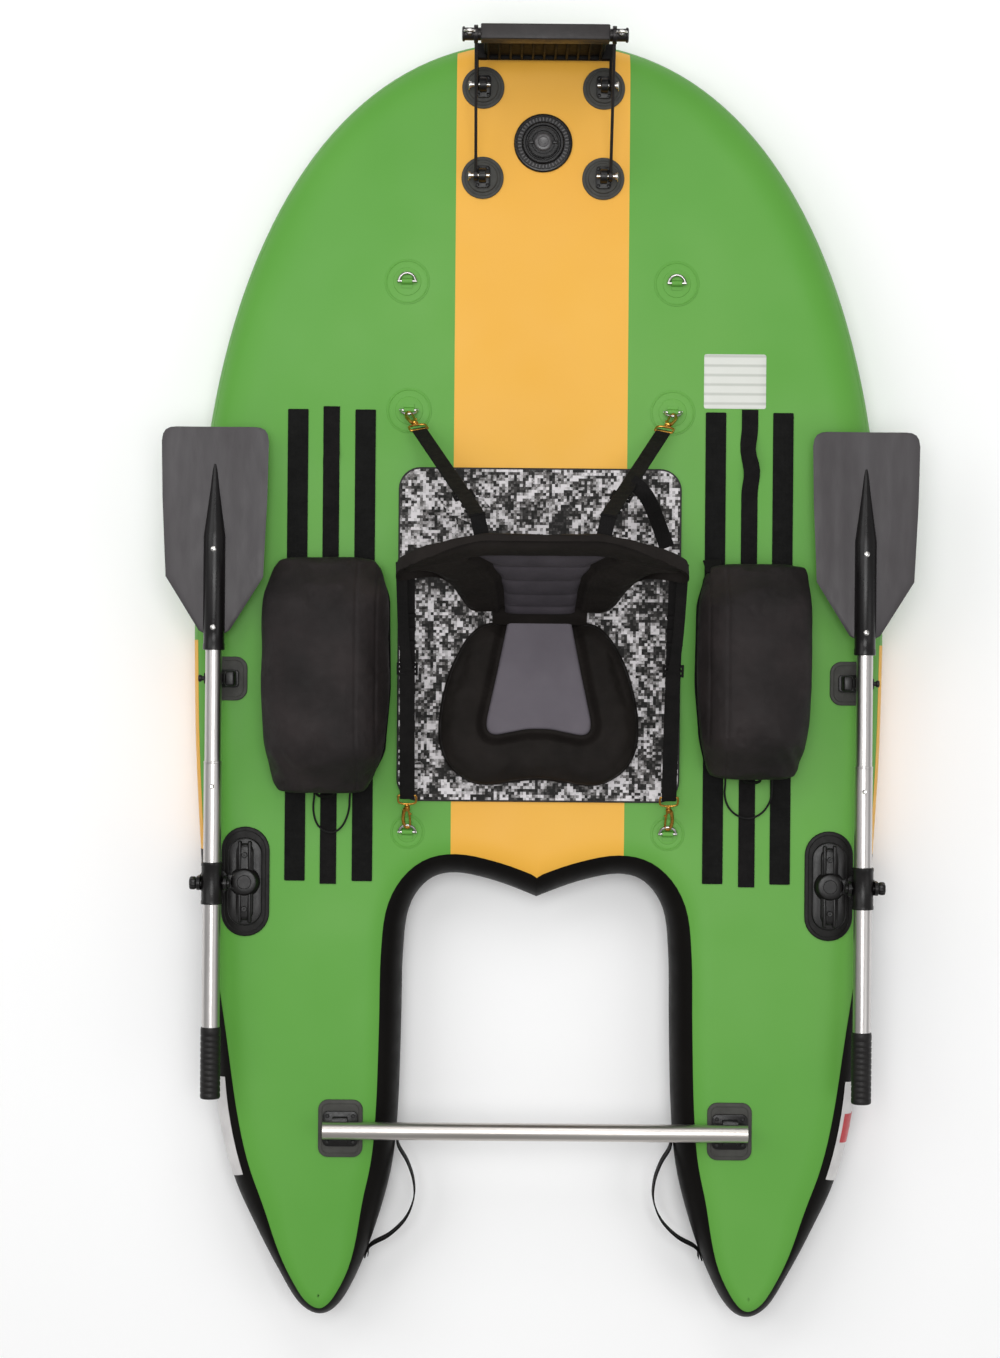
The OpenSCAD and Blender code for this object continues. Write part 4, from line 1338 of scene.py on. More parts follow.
@dataclass
class SeatRigging:
    """D-rings on welded patches, and the straps that hold the backrest up from four of them."""

    rim: Rim
    spots: Points = ((230, 674), (225, 454), (222, -265))
    patch_r: Triple = (38.5, 38.5, 29)
    ring_r: float = 14
    wire: float = 2.5
    axis_z: float = 156.2
    hook_l: float = 61.4
    web: Pair = (25, 2)
    tilt: float = 22
    hinge: Triple = (0, 97, 203)
    front_hold: Triple = (105, 300, -54)
    side_hold: Triple = (216, 247, 2.5)
    side_leg: Triple = (225, 256, 12)

    def on_back(self, u: float, v: float, w: float) -> Vector:
        """Return a place on the backrest: across, up its slope and out of its face."""
        a = radians(self.tilt)
        up, out = Vector((0, sin(a), cos(a))), Vector((0, -cos(a), sin(a)))
        return Vector(self.hinge) + Vector((u, 0, 0)) + v * up + w * out

    def bar(self, k: int) -> Vector:
        """Return the middle of a ring's straight bar, on the starboard side."""
        return Vector((*self.spots[k], self.axis_z))

    def tip(self, k: int, hold: Vector) -> Vector:
        """Return the far point of a ring that is pulled towards its strap."""
        way = hold - self.bar(k)
        level = Vector((0, way.y, way.z)).normalized()
        return self.bar(k) + self.ring_r * level

    def ring(self, k: int, lift: float) -> Mesh:
        """Return one D-ring, turned up from the deck by lift degrees."""
        arc = [Vector((self.ring_r * cos(pi * i / 20), self.ring_r * sin(pi * i / 20), 0))
               for i in range(21)]
        bow = tube(arc, self.wire - 0.2, 12)
        bar = tube([Vector((x * (self.ring_r + self.wire), 0, 0)) for x in (-1, -0.97, 0, 0.97, 1)],
                   [self.wire * 0.6, self.wire, self.wire, self.wire, self.wire * 0.6], 16)
        return moved(rotated(joined([bow, bar]), lift, Axis.X, (0, 0, 0)), self.bar(k))

    def patches(self) -> None:
        """Build the welded patches with their raised rims and webbing loops."""
        discs, loops = [], []
        for side in Side:
            for k, (x, y) in enumerate(self.spots):
                r, at = self.patch_r[k], (side.value * x, y)
                disc = cushion_plate(circle(r, at), 0, 1.1, 0.6, rings=3)
                weld = tube([p + Vector((0, 0, 1.0)) for p in circle(r - 3.2, at, 56)], 1.0, 8, looped=True)
                crown = cushion_plate(circle(r * 0.62, at), 0.9, 2.1, 0.9, rings=2)
                discs += self.rim.drape(disc, weld, crown)
                arc = [Vector((side.value * x, y + 4.0 * cos(a), self.axis_z + 3.9 * sin(a)))
                       for a in (pi * i / 10 for i in range(11))]
                over = [Vector((arc[0].x, y + 11, 152.9)), Vector((arc[0].x, y + 5.6, 153.2)), *arc,
                        Vector((arc[0].x, y - 5.6, 153.2)), Vector((arc[0].x, y - 11, 152.9))]
                loops.append(band(over, 18, 1.0, ACROSS))
        mount(solid(joined(discs), "ring_patches", GREEN_PVC), "hull", "pvc_green", "dring_patches")
        mount(solid(joined(loops), "ring_loops", GREEN_PVC), "hull", "pvc_green")

    def hook(self, k: int, hold: Vector) -> Mesh:
        """Return one snap hook between a ring and its strap: hook, spring gate, swivel and strap eye."""
        start = self.tip(k, hold)
        way = (hold - start).normalized()
        across = way.cross(ACROSS).normalized().cross(way).normalized()
        up = across.cross(way)

        def at(along: float, side: float, lift: float = 0.0) -> Vector:
            """Return a place from the ring: along the pull, across it and up."""
            return start + way * along + across * side + up * lift

        curve = [at(34, 3.2), at(28, 5.4), at(16, 6.8), at(6, 6.2), at(-1.5, 3.4), at(-4.4, 0),
                 at(-2.4, -3.6),
                 at(2.6, -5.4)]
        body = tube(catmull(curve, 4), [3.4] * 5 + [3.0] * 20 + [2.2] * 4, 12)
        gate = tube([at(2.8, -5.2), at(12, -4.8), at(24, -3.6), at(31, -1.5)], [1.7, 1.9, 2.0, 1.6], 10)
        thumb = tube([at(22, -3.4), at(24, -7.2)], [1.6, 2.0], 10)
        barrel = tube([at(31, 0), at(32, 0), at(38, 0), at(39, 0), at(42, 0), at(43, 0)],
                      [3, 5, 5, 3.4, 3.4, 2.6], 18)
        half = self.web[0] / 2 + 1
        eye = [at(43.5, -6), at(46, -half), at(51, -half - 1.6), at(59.6, -half - 1.2), at(61, -half + 2),
               at(61, half - 2), at(59.6, half + 1.2), at(51, half + 1.6), at(46, half), at(43.5, 6)]
        frame_part = tube([p for p in catmull(eye, 3)], 1.9, 10, looped=True)
        return joined([body, gate, thumb, barrel, frame_part])

    def strap_points(self, k: int, hold: Vector, sag: float) -> list[Vector]:
        """Return the line of a strap from its hook to the backrest, with a little slack."""
        start = self.tip(k, hold)
        way = (hold - start).normalized()
        first = start + way * (self.hook_l - 4)
        steps = 18
        line = [first.lerp(hold, i / steps) - Vector((0, 0, sag * sin(pi * i / steps)))
                for i in range(steps + 1)]
        level = Vector((-0.22, -0.96, 0.12))
        return line + ([hold + level * reach for reach in (10, 24, 38, 52)] if k == 1 else [])

    def strap(self, k: int, hold: Vector, sag: float, buckle_at: float) -> list[Mesh]:
        """Return a strap: its band, the fold round the hook's eye, its ladder buckle and doubled end."""
        line = self.strap_points(k, hold, sag)
        way = (line[-1] - line[0]).normalized()
        across = way.cross(ACROSS).normalized().cross(way).normalized()
        up = across.cross(way)
        parts = [band(line, *self.web, across)]
        fold_n = int(len(line) * buckle_at)
        doubled = [p + up * 2.4 for p in line[: fold_n + 1]]
        nose = [line[0] - way * 2.4 + up * 1.2]
        parts.append(band([line[0] + up * -0.6, *nose, *doubled], self.web[0] - 0.6, self.web[1], across))
        middle = line[fold_n] + up * 1.6
        turn = Matrix((across, way, up)).transposed().to_4x4()
        bars = [block((33, 4, 4.4), (0, y, 0.6), 1.4) for y in (-9, 0, 9)]
        cheeks = [block((4, 23, 5.4), (x, 0, 0.6), 1.6) for x in (-15.5, 15.5)]
        buckle = joined([*bars, *cheeks])
        bmesh.ops.transform(buckle, matrix=Matrix.Translation(middle) @ turn, verts=buckle.verts)
        parts.append(buckle)
        for share in (0.06, buckle_at - 0.08):
            seam = line[int(len(line) * share)] + up * 3.5
            parts.append(band([seam - way * 1.2, seam + way * 1.2], self.web[0] - 4, 0.6, across))
        if k == 2:
            leg = [line[fold_n] + up * 4.4, line[fold_n + 3] + up * 5 + Vector((6, 0, 0)),
                   self.on_back(*self.side_leg)]
            parts.append(band(catmull(leg, 5), self.web[0] - 7, self.web[1], across))
        for i in range(3):
            keeper = line[fold_n + 2 + i]
            parts.append(band([keeper - way * 3 + up * 2, keeper + way * 3 + up * 2], self.web[0] + 3, 3.4,
                              across))
        return parts

    def tail(self) -> list[Mesh]:
        """Return the loose end that hangs from the starboard front buckle."""
        line = self.strap_points(1, self.hold(1), 4)
        start = line[int(len(line) * 0.5)] + Vector((0, 0, 2))
        hang = [start, start + Vector((12, -10, 6)), start + Vector((26, -26, 0)),
                start + Vector((38, -46, -22)),
                start + Vector((48, -66, -48)), start + Vector((57, -86, -66)),
                start + Vector((64, -104, -74))]
        return [band(catmull(hang, 4), self.web[0], self.web[1], Vector((0.86, 0.5, 0.1)))]

    def hold(self, k: int) -> Vector:
        """Return where a strap is sewn to the backrest, on the starboard side."""
        return self.on_back(*(self.front_hold if k == 1 else self.side_hold))

    def straps(self) -> None:
        """Build the two front and the two side straps, from the rings to the backrest."""
        for k, name, node in ((1, "front_straps_webbing", "front_straps"),
                              (2, "side_straps_webbing", "side_straps")):
            parts = []
            for side in Side:
                sag, buckle = (4, 0.62) if k == 1 else (7, 0.55)
                parts += [flipped(m, side) for m in self.strap(k, self.hold(k), sag, buckle)]
            if k == 1:
                parts += self.tail()
            piece = solid(joined(parts), name, WEBBING)
            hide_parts(node)
            start, end = self.strap_points(k, self.hold(k), 0)[0], self.hold(k)
            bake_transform(piece)
            LOG.info("%s bends between hull and seat_back", piece.name)

    def build(self) -> None:
        """Build the rings, the hooks and the straps."""
        self.patches()
        hooks, rings = [], []
        for side in Side:
            label = side.label
            body = f"dring_front_{label}"
            mount(solid(flipped(self.ring(0, 0), side), f"bow_ring_{label}", STAINLESS), body, "stainless",
                  body)
            for k in (1, 2):
                way = self.hold(k) - self.bar(k)
                rings.append(flipped(self.ring(k, degrees(atan2(way.z, way.y))), side))
                hooks.append(flipped(self.hook(k, self.hold(k)), side))
        mount(solid(joined(rings), "seat_rings", STAINLESS), "hull", "stainless", "seat_drings")
        mount(solid(joined(hooks), "strap_hooks", BRASS), "hull", "brass", "snap_hooks")
        self.straps()


# ---- side bags


@dataclass
class DrawCord:
    """A thin cord that loops out of a bag's end, lies on the deck and goes back in."""

    side: Side
    points: tuple[Triple, ...]
    radius: float = 1.75

    def build(self) -> None:
        """Build the cord as a curve along its given route."""
        line = catmull(self.points, 4)
        data = bpy.data.curves.new(f"draw_cord_{self.side.label}", "CURVE")
        data.dimensions = "3D"
        data.bevel_depth = self.radius * MM
        data.bevel_resolution = 3
        data.use_fill_caps = True
        spline = data.splines.new("POLY")
        spline.points.add(len(line) - 1)
        for knot, point in zip(spline.points, line):
            knot.co = (*(point * MM), 1)
        data.materials.append(CORD.material())
        cord = bpy.data.objects.new(data.name, data)
        bpy.context.collection.objects.link(cord)
        mount(cord, "hull", "cord_black", f"bag_cord_{self.side.label}")


DRAW_CORDS = (
    DrawCord(Side.LEFT, (
        (-379, -197, 176), (-380, -208, 172), (-382, -222, 162), (-381, -238, 155.5), (-375, -254, 155.2),
        (-362, -265, 155.2), (-346, -266, 155.2), (-333, -256, 155.2), (-325, -240, 155.2), (-321, -224, 160),
        (-320, -210, 168), (-319, -197, 172),
    )),
    DrawCord(Side.RIGHT, (
        (318, -168, 176), (318, -180, 172), (318, -196, 162), (323, -214, 155.5), (334, -228, 155.2),
        (350, -236, 155.2), (367, -236, 155.2), (383, -227, 155.2), (394, -212, 155.5), (398, -196, 162),
        (398, -180, 170), (397, -168, 174),
    )),
)


@dataclass
class SideStrips:
    """Welded hook tape and a webbing runner on each side, which the bags sit on."""

    deck: float = 150
    hook_x: Pair = (299, 414)
    hook_w: float = 35
    run_x: float = 357
    run_w: float = 28
    y0: float = -350
    y1: float = 455

    def build(self) -> None:
        """Build the tape and the runners."""
        tapes, runners = [], []
        for side in Side:
            for x in self.hook_x:
                outline = rounded_rect(self.hook_w, self.y1 - self.y0, 2,
                                       (side.value * x, (self.y0 + self.y1) / 2))
                tapes.append(extruded(outline, self.deck, self.deck + 2.2, 0.6))
            runners.append(self.runner(side))
        mount(solid(joined(tapes), "hook_tapes", HOOK_TAPE), "hull", "hook_black", "hook_strips")
        mount(solid(joined(runners), "webbing_runners", WEBBING), "hull", "webbing_black", "bag_straps")

    def runner(self, side: Side) -> Mesh:
        """Return one runner: it lies flat but for a loose stretch forward of the bag."""
        line, across = [], []
        steps = 70
        y0, y1 = self.y0 - 5, self.y1 + 5
        for i in range(steps + 1):
            y = y0 + (y1 - y0) * i / steps
            loose = max(0.0, 1 - abs(y - 372) / 62) if side is Side.RIGHT else max(0.0,
                                                                                   1 - abs(y
                                                                                           - 375) / 24) * 0.35
            swell = ramp(loose)
            x = self.run_x - 6 * swell * sin((y - 372) / 22)
            line.append(Vector((side.value * x, y, self.deck + 1.3 + 7 * swell)))
            lean = 0.62 * swell * sin((y - 372) / 26 + 0.6)
            across.append(Vector((cos(lean), 0, sin(lean))))
        return band(line, self.run_w, 2.0, across)


@dataclass
class Bag:
    """Soft barrel-shaped bag: a filled cloth shell with piping, a zip and a carry loop."""

    side: Side
    x: float
    width: float
    y0: float
    y1: float
    height: float = 136
    foot: float = 153.4

    @property
    def middle(self) -> float:
        """Return the bag's middle along Y."""
        return (self.y0 + self.y1) / 2

    def half_width(self, y: float, sign: float) -> float:
        """Return half of the bag's width at a place along it, on the side of X that sign tells."""
        a, m = self.width / 2, self.middle
        inboard = sign != self.side.value
        aft = 0.70 if inboard and self.side is Side.LEFT else 0.80
        fore = 0.97 if not inboard and self.side is Side.RIGHT else 0.88
        knots = ((self.y0, aft - 0.06), (self.y0 + 18, aft + 0.04), (self.y0 + 74, 0.95), (m - 20, 1.02),
                 (self.y1 - 70, 1.0), (self.y1 - 22, fore), (self.y1, fore - 0.12 + (fore - 0.88)))
        return a * between(knots, y, 0.5)

    def form(self, shrink: float) -> Mesh:
        """Return the closed form that the cloth starts from, a little smaller than the bag."""
        rows = []
        steps, sides = 26, 40
        for i in range(steps + 1):
            t = i / steps
            y = self.y0 + shrink + (self.y1 - self.y0 - 2 * shrink) * t
            end = min(t, 1 - t)
            h = (self.height - shrink) * (0.62 + 0.38 * ramp(end / 0.2))
            row = []
            for k in range(sides):
                a = tau * k / sides
                c, s = cos(a), sin(a)
                w = self.half_width(y, copysign(1, c)) - shrink
                px = copysign(abs(c) ** 0.6, c) * w
                pz = h * (0.5 + 0.5 * copysign(abs(s) ** 0.7, s))
                flare = 1 - 0.10 * ramp((pz / h - 0.55) / 0.45)
                row.append(Vector((self.x + px * flare, y, self.foot + 1 + pz)))
            rows.append(row)
        return loft(rows)

    def build(self) -> None:
        """Build the bag, blow it up, lay in its folds and add its trimmings."""
        label = self.side.label
        piece = solid(self.form(4), f"bag_{label}_shell", PACK_CLOTH)
        Stuffing(pressure=3.0, cap=6, voxel=5.0, shrink=-0.015).fill(piece,
                                                                     lambda p: ramp((p.z - self.foot) / 25))
        soften(piece, 1)
        reshape(piece, self.folds)
        set_finish(piece, PACK_CLOTH)
        mount(piece, "hull", "bag_black", f"bag_{label}")
        mount(solid(joined(self.trims()), f"bag_{label}_trims", WEBBING), "hull", "bag_black")

    def folds(self, p: Vector) -> Vector:
        """Return the shift that lays slack folds and panel seams in the cloth at a place."""
        up = ramp((p.z - self.foot - 12) / 40)
        local = Vector((p.x - self.x, p.y - self.middle, p.z - self.foot))
        seed = 3.0 * self.side.value
        wave = noise.noise(Vector((local.x / 58 + seed, local.y / 95, local.z / 60)))
        fine = noise.noise(Vector((local.x / 20, local.y / 46 + seed, local.z / 24)))
        pull = noise.noise(Vector((local.x / 90 + seed, local.y / 30, 5.0)))
        depth = 3.4 * wave + 0.7 * fine + 1.6 * pull * ramp((abs(local.y) - 110) / 60)
        inner = -self.side.value * self.width
        groove = sum(exp(-(((local.x - inner * s) / 2.2) ** 2)) for s in (0.25, 0.40))
        corner = Vector((local.x - self.side.value * self.width * 0.34, local.y + 140))
        pocket = exp(-((corner.x / 26) ** 2 + (corner.y / 30) ** 2))
        sag = 5 * exp(-((local.y / 120) ** 2) - (local.x / 70) ** 2)
        out = Vector((local.x * 0.35, local.y * 0.10, 60)).normalized()
        shift = out * up * (depth - 1.5 * groove - 4.0 * pocket
                            * (0.5 + 0.5 * sin(corner.x / 5 + corner.y / 9)) - sag)
        shift.z = min(shift.z, self.foot + self.height + 4 - p.z)
        return shift

    def trims(self) -> list[Mesh]:
        """Return the piping along the base, the zip tape across the end and the carry loop."""
        parts, base, steps = [], [], 40
        for sign in (1, -1):
            for k in range(steps + 1):
                t = k / steps if sign > 0 else 1 - k / steps
                y = self.y0 + 6 + (self.y1 - self.y0 - 12) * t
                base.append(Vector((self.x + sign * (self.half_width(y, sign) - 5), y, self.foot + 9)))
        parts.append(tube(base, 2.2, 8, looped=True))
        y_front = self.y1 - 4
        if self.side is Side.RIGHT:
            tab = [Vector((self.x - 66 - k * 1.5, y_front - 8 + 7 * k, self.foot + 60 - 9 * k))
                   for k in range(4)]
            parts.append(band(tab, 30, 2.4, ACROSS))
        loop = ((-16, 1, 40), (-12, -6, 34), (0, -9, 26), (12, -6, 34), (16, 1, 40))
        handle = [Vector((self.x + dx, self.y0 + dy, self.foot + dz)) for dx, dy, dz in loop]
        parts.append(band(catmull(handle, 4), 10, 1.6, Vector((0, 0.5, 1))))
        return parts


@dataclass
class GrabHandles:
    """Webbing loops on the inner walls of the two tails."""

    width: float = 38
    thickness: float = 2.4
    bottom: float = 56
    route: Points = (
        (238, -788), (236, -812), (220, -840), (209, -872), (208, -905), (222, -940), (250, -968),
        (282, -986),
        (291.8, -1006),
    )

    def build(self) -> None:
        """Build both loops and the sewn patches that hold their ends."""
        middle = self.bottom + self.width / 2
        line = [Vector((p.x, p.y, middle)) for p in catmull(self.route, 5)]
        parts = []
        for side in Side:
            parts.append(flipped(band(line, self.width, self.thickness, UP), side))
            for i in (3, len(line) - 4):
                sewn = [line[i] + Vector((-1.8, dy, 0)) for dy in (9, -9)]
                parts.append(flipped(band(sewn, 34, 0.8, UP), side))
        mount(solid(joined(parts), "grab_loops", WEBBING), "hull", "webbing_black", "grab_handles")


# ---- rowing gear


@dataclass
class DeckFittings:
    """Rubber pads along the edges, with the oarlock bases, the oar rests and the crossbar's clips on them."""

    rim: Rim
    pad_t: float = 4
    deck: float = 150
    lock_at: Pair = (498, -352)
    rest_at: Pair = (533, -6)
    clip_at: Pair = (332, -772)
    oar_x: float = 550
    oar_z: float = 196
    shaft_r: float = 15

    def pads(self) -> None:
        """Build the rubber pads, which follow the rounded deck."""
        sizes = {
            "lock_pads": (self.lock_at, (83, 187, 41), RUBBER_BLACK),
            "rest_pads": (self.rest_at, (72, 75, 20), RUBBER),
            "clip_pads": (self.clip_at, (76, 98, 17), RUBBER),
        }
        for name, (at, (w, length, r), finish) in sizes.items():
            parts = []
            for side in Side:
                centre = (side.value * at[0], at[1])
                plate = cushion_plate(rounded_rect(w, length, r, centre), 0, self.pad_t - 0.2, 1.6, rings=5)
                line = rounded_rect(w - 13, length - 13, r - 6.5, centre)
                bead = tube([p + Vector((0, 0, self.pad_t)) for p in line], 0.8, 6, looped=True)
                parts += self.rim.drape(plate, bead)
            node = ["deck_pads"] if name == "lock_pads" else []
            mount(solid(joined(parts), name, finish), "hull", "rubber_black", *node)

    def lock_base(self) -> Mesh:
        """Return the starboard oarlock base: a long plate with a round boss, two spines and an arm outboard."""
        x, y = self.lock_at
        z = self.deck + self.pad_t
        plate = cushion_plate(rounded_rect(58, 150, 28, (x, y)), z - 5, z + 5, 2.4, rings=3)
        hump = cushion_plate(rounded_rect(30, 132, 14.9, (x, y)), z + 4, z + 11, 6, rings=3, crown=1.5)
        boss = turned([(0, 0), (27, 0), (26.4, 5), (22, 15), (20.4, 18.2), (18.6, 18.9), (12, 18.9),
                       (11, 17.6), (0, 17.6)],
                      (x, y, z), steps=56)
        spines = [block((7, 52, 13), (x + dx, y + sy * 44, z + 6.4), 3, 3) for dx in (-8.5, 8.5)
                  for sy in (-1, 1)]
        screws = [turned([(0, 0), (5, 0), (5, 1.6), (4, 2.6), (1.6, 2.6), (1.2, 1.6), (0, 1.6)],
                         (x, y + dy, z + 12.2),
                         steps=24) for dy in (-46, 46)]
        arm = block((self.oar_x - x, 26, 10), ((self.oar_x + x) / 2, y, z + 6.8), 2.4, 3)
        seat = turned([(6.05, 0), (12.6, 0), (13, 0.8), (13, 11.2), (12.2, 12), (6.05, 12)],
                      (self.oar_x, y, z), steps=40)
        return joined([plate, hump, boss, *spines, *screws, arm, seat])

    def rest(self) -> Mesh:
        """Return the starboard oar rest: a saddle on a foot, with an inboard post."""
        x, y = self.rest_at
        z = self.deck + self.pad_t
        foot = extruded(rounded_rect(40, 30, 6, (x - 2, y)), z - 8, z + 5, 1.6)
        r = self.shaft_r + 2.6
        turns = [radians(-90 + (k - 6) * 16) for k in range(13)]
        arc = [Vector((self.oar_x + r * cos(a), y, self.oar_z + r * sin(a))) for a in turns]
        low = [p for p in arc if p.z < self.oar_z - 6]
        saddle = band(low, 18, 3.4, AHEAD)
        web = block((26, 16, 21), (self.oar_x - 7, y, z + 12.6), 3, 3)
        post = block((17, 26, 34), (x - 9.6, y, z + 19), 4, 3)
        peg = turned([(0, 0), (4, 0), (4, 5), (6, 6), (6, 10), (5, 11), (0, 11)],
                     (self.oar_x + 17, y, z + 21), Axis.X, 24)
        return joined([foot, saddle, web, post, peg])

    def clip(self) -> Mesh:
        """Return the starboard crossbar clip: a plate, a cradle and four screws."""
        x, y = self.clip_at
        z = self.deck + self.pad_t
        plate = extruded(rounded_rect(60, 60, 9, (x, y)), z - 1, z + 4, 1.4)
        bar_z, inner = self.deck + self.pad_t + 21, self.shaft_r + 0.1
        turns = [radians(180 + 15 * k) for k in range(13)]
        cradle = [Vector((x, y + (inner + 2) * cos(a), bar_z + (inner + 2) * sin(a))) for a in turns]
        jaws = band(cradle, 26, 3.8, ACROSS)
        cheeks = [block((26, 5, 19), (x, y + sy * 18.8, z + 10.4), 1.4) for sy in (-1, 1)]
        foot = block((26, 34, 6), (x, y, z + 4.2), 1.4)
        screws = [turned([(0, 0), (3.4, 0), (3.4, 1), (2.4, 1.8), (0, 1.8)],
                         (x + sx * 22, y + sy * 22, z + 3.9), steps=20)
                  for sx in (-1, 1) for sy in (-1, 1)]
        return joined([plate, jaws, *cheeks, foot, *screws])

    def build(self) -> None:
        """Build the pads and what stands on them."""
        self.pads()
        for make, name, node in ((self.lock_base, "oarlock_base_pair", "oarlock_bases"),
                                 (self.rest, "oar_rest_pair", "oar_rests"),
                                 (self.clip, "crossbar_clip_pair", "crossbar_clips")):
            mount(solid(pair(make), name, NYLON), "hull", "bracket_black", node)


@dataclass
class Oar:
    """One oar in its swivel lock: a two-part tube, a moulded blade, a grip, a sleeve and the pin's knob."""

    side: Side
    x: float = 550
    z: float = 196
    pivot_y: float = -352
    upper: Pair = (-240, 232)
    lower: Pair = (-712, -149)
    upper_r: float = 14
    lower_r: float = 15
    wall: float = 1.4
    sleeve_l: float = 71
    socket_y: float = 42
    spine_r: float = 18.5
    rivets: Pair = (80, 212)

    def pipe(self, y0: float, y1: float, r: float, inner: float) -> Mesh:
        """Return a drawn tube between two places along the oar."""
        return turned(bush(inner, r, y0, y1, 0.6), (self.x, 0, self.z), Axis.Y)

    def half_blade(self, y: float) -> float:
        """Return half of the blade's width at a place along it."""
        knots = ((69, 15.5), (75, 26), (166, 82.5), (300, 88.6), (395, 90.5), (407, 88.4), (414, 84),
                 (418, 76), (419, 66.5))
        return between(knots, y)

    def blade(self) -> Mesh:
        """Return the blade: a thin dished sheet, thicker towards its spine, with two raised flutes."""
        places = [69, 72, 75, 100, 133, 160, 166, 172, 210, 255, 300, 345, 385, 395, 401, 407, 411, 414,
                  416.5, 418, 419]
        rows = []
        cols = 24
        for y in places:
            w = self.half_blade(y)
            row = []
            for face in (1, -1):
                for k in range(cols):
                    u = face * (1 - 2 * k / cols)
                    edge = (1 - abs(u) ** 10) ** 0.5
                    flute = 1.3 * exp(-(((abs(u) * w - 40) / 7) ** 2)) * ramp((y - 120)
                                                                              / 60) * ramp((410 - y) / 60)
                    half_t = (1.3 + 1.2 * (1 - abs(u))) * max(edge, 0.15) + flute * 0.5
                    dish = 3.0 * abs(u) ** 2 * ramp((y - 110) / 120)
                    row.append(Vector((self.x + u * w, y, self.z + dish + face * half_t - 0.6)))
            rows.append(row)
        return loft(rows)

    def spine(self) -> Mesh:
        """Return the blade's black socket and the long taper that stiffens it."""
        r, inner = self.spine_r, self.upper_r + 0.1
        y = self.socket_y
        profile = [(inner, y), (r - 1.2, y), (r, y + 1.2), (r, y + 10), (r - 0.8, y + 12), (r - 0.8, y + 30),
                   (r, y + 32),
                   (r, y + 192), (r - 1.4, y + 202), (r - 6, y + 236), (8, y + 270), (4.5, y + 302),
                   (2.6, y + 314),
                   (0, y + 315), (0, 234), (inner, 234)]
        return turned(profile, (self.x, 0, self.z), Axis.Y, 56)

    def rivet(self) -> Mesh:
        """Return both rivets of the socket."""
        profile = [(0, -4), (2.4, -4), (2.4, 0), (4.8, 0), (4.6, 0.9), (3.6, 1.5), (1.6, 1.8), (0, 1.85)]
        return joined([turned(profile, (self.x, y, self.z + self.spine_r - 0.2), steps=28)
                       for y in self.rivets])

    def grip(self) -> Mesh:
        """Return the ribbed grip over the end of the tube."""
        r, y0 = self.lower_r + 2, -716
        profile = [(0, y0), (r - 3, y0), (r - 0.8, y0 + 1), (r, y0 + 3.4)]
        for k in range(11):
            y = y0 + 9 + 9.6 * k
            profile += [(r, y), (r - 0.7, y + 0.9), (r - 0.7, y + 2.1), (r, y + 3)]
        profile += [(r, y0 + 117), (r - 0.8, y0 + 121), (self.lower_r + 0.05, y0 + 121),
                    (self.lower_r + 0.05, y0 + 4.2),
                    (0, y0 + 4.2)]
        return turned(profile, (self.x, 0, self.z), Axis.Y, 48)

    def sleeve(self) -> Mesh:
        """Return the plastic sleeve that the lock's pin runs through."""
        r, half = self.lower_r + 3.4, self.sleeve_l / 2
        inner = self.lower_r + 0.05
        profile = [(inner, -half), (r - 0.8, -half), (r, 0.8 - half), (r, -half + 6), (r - 0.7, -half + 7),
                   (r - 0.7, half - 7), (r, half - 6), (r, half - 0.8), (r - 0.8, half), (inner, half)]
        return turned(profile, (self.x, self.pivot_y, self.z), Axis.Y, 56)

    def knob(self) -> Mesh:
        """Return the lock's cross pin, its head and its lobed knob, on the starboard side."""
        ear = 25.5
        pin = [(0, -ear - 4), (4, -ear - 4), (4, ear + 4), (0, ear + 4)]
        head = [(0, -ear - 5), (6, -ear - 5), (7, -ear - 4), (7, -ear - 0.6), (0, -ear - 0.6)]
        centre = (self.x, self.pivot_y, self.z)
        rows = []
        for along, r in ((0.3, 8), (0.8, 9.4), (2.4, 10.2), (4, 10.8), (9, 10.8), (11, 10.0), (12.2, 8.0),
                         (12.3, 3)):
            lobes = [tau * k / 56 for k in range(56)]
            ring = [(r * (1 + 0.055 * cos(7 * a)) * cos(a), r * (1 + 0.055 * cos(7 * a)) * sin(a))
                    for a in lobes]
            rows.append([Vector((self.x + ear + along, self.pivot_y + p, self.z + q)) for p, q in ring])
        return joined([turned(pin, centre, Axis.X, 32), turned(head, centre, Axis.X, 32), loft(rows)])

    def lock(self) -> Mesh:
        """Return the swivel: a post, a disc and two ears bored for the pin."""
        ear, t, top = 19.5, 6, 166.3
        post = turned([(0, 0), (5.4, 0), (6, 0.8), (6, 13), (0, 13)], (self.x, self.pivot_y, 154), steps=32)
        disc = turned([(0, 0), (25.2, 0), (26, 0.8), (26, 2.7), (25.2, 3.5), (0, 3.5)],
                      (self.x, self.pivot_y, top), steps=56)
        parts = [post, disc]
        for sign in (-1, 1):
            x = self.x + sign * (ear + t / 2)
            ring = turned(bush(4.05, 12, -t / 2, t / 2, 0.6), (x, self.pivot_y, self.z), Axis.X, 40)
            cheek = block((t, 24, self.z - top - 8), (x, self.pivot_y, (self.z + top - 8) / 2 + 0.5), 1.2)
            foot = block((5, 18, 6), (x - sign * 1.2, self.pivot_y, top + 4.4), 1.4)
            parts += [ring, cheek, foot]
        return joined(parts)

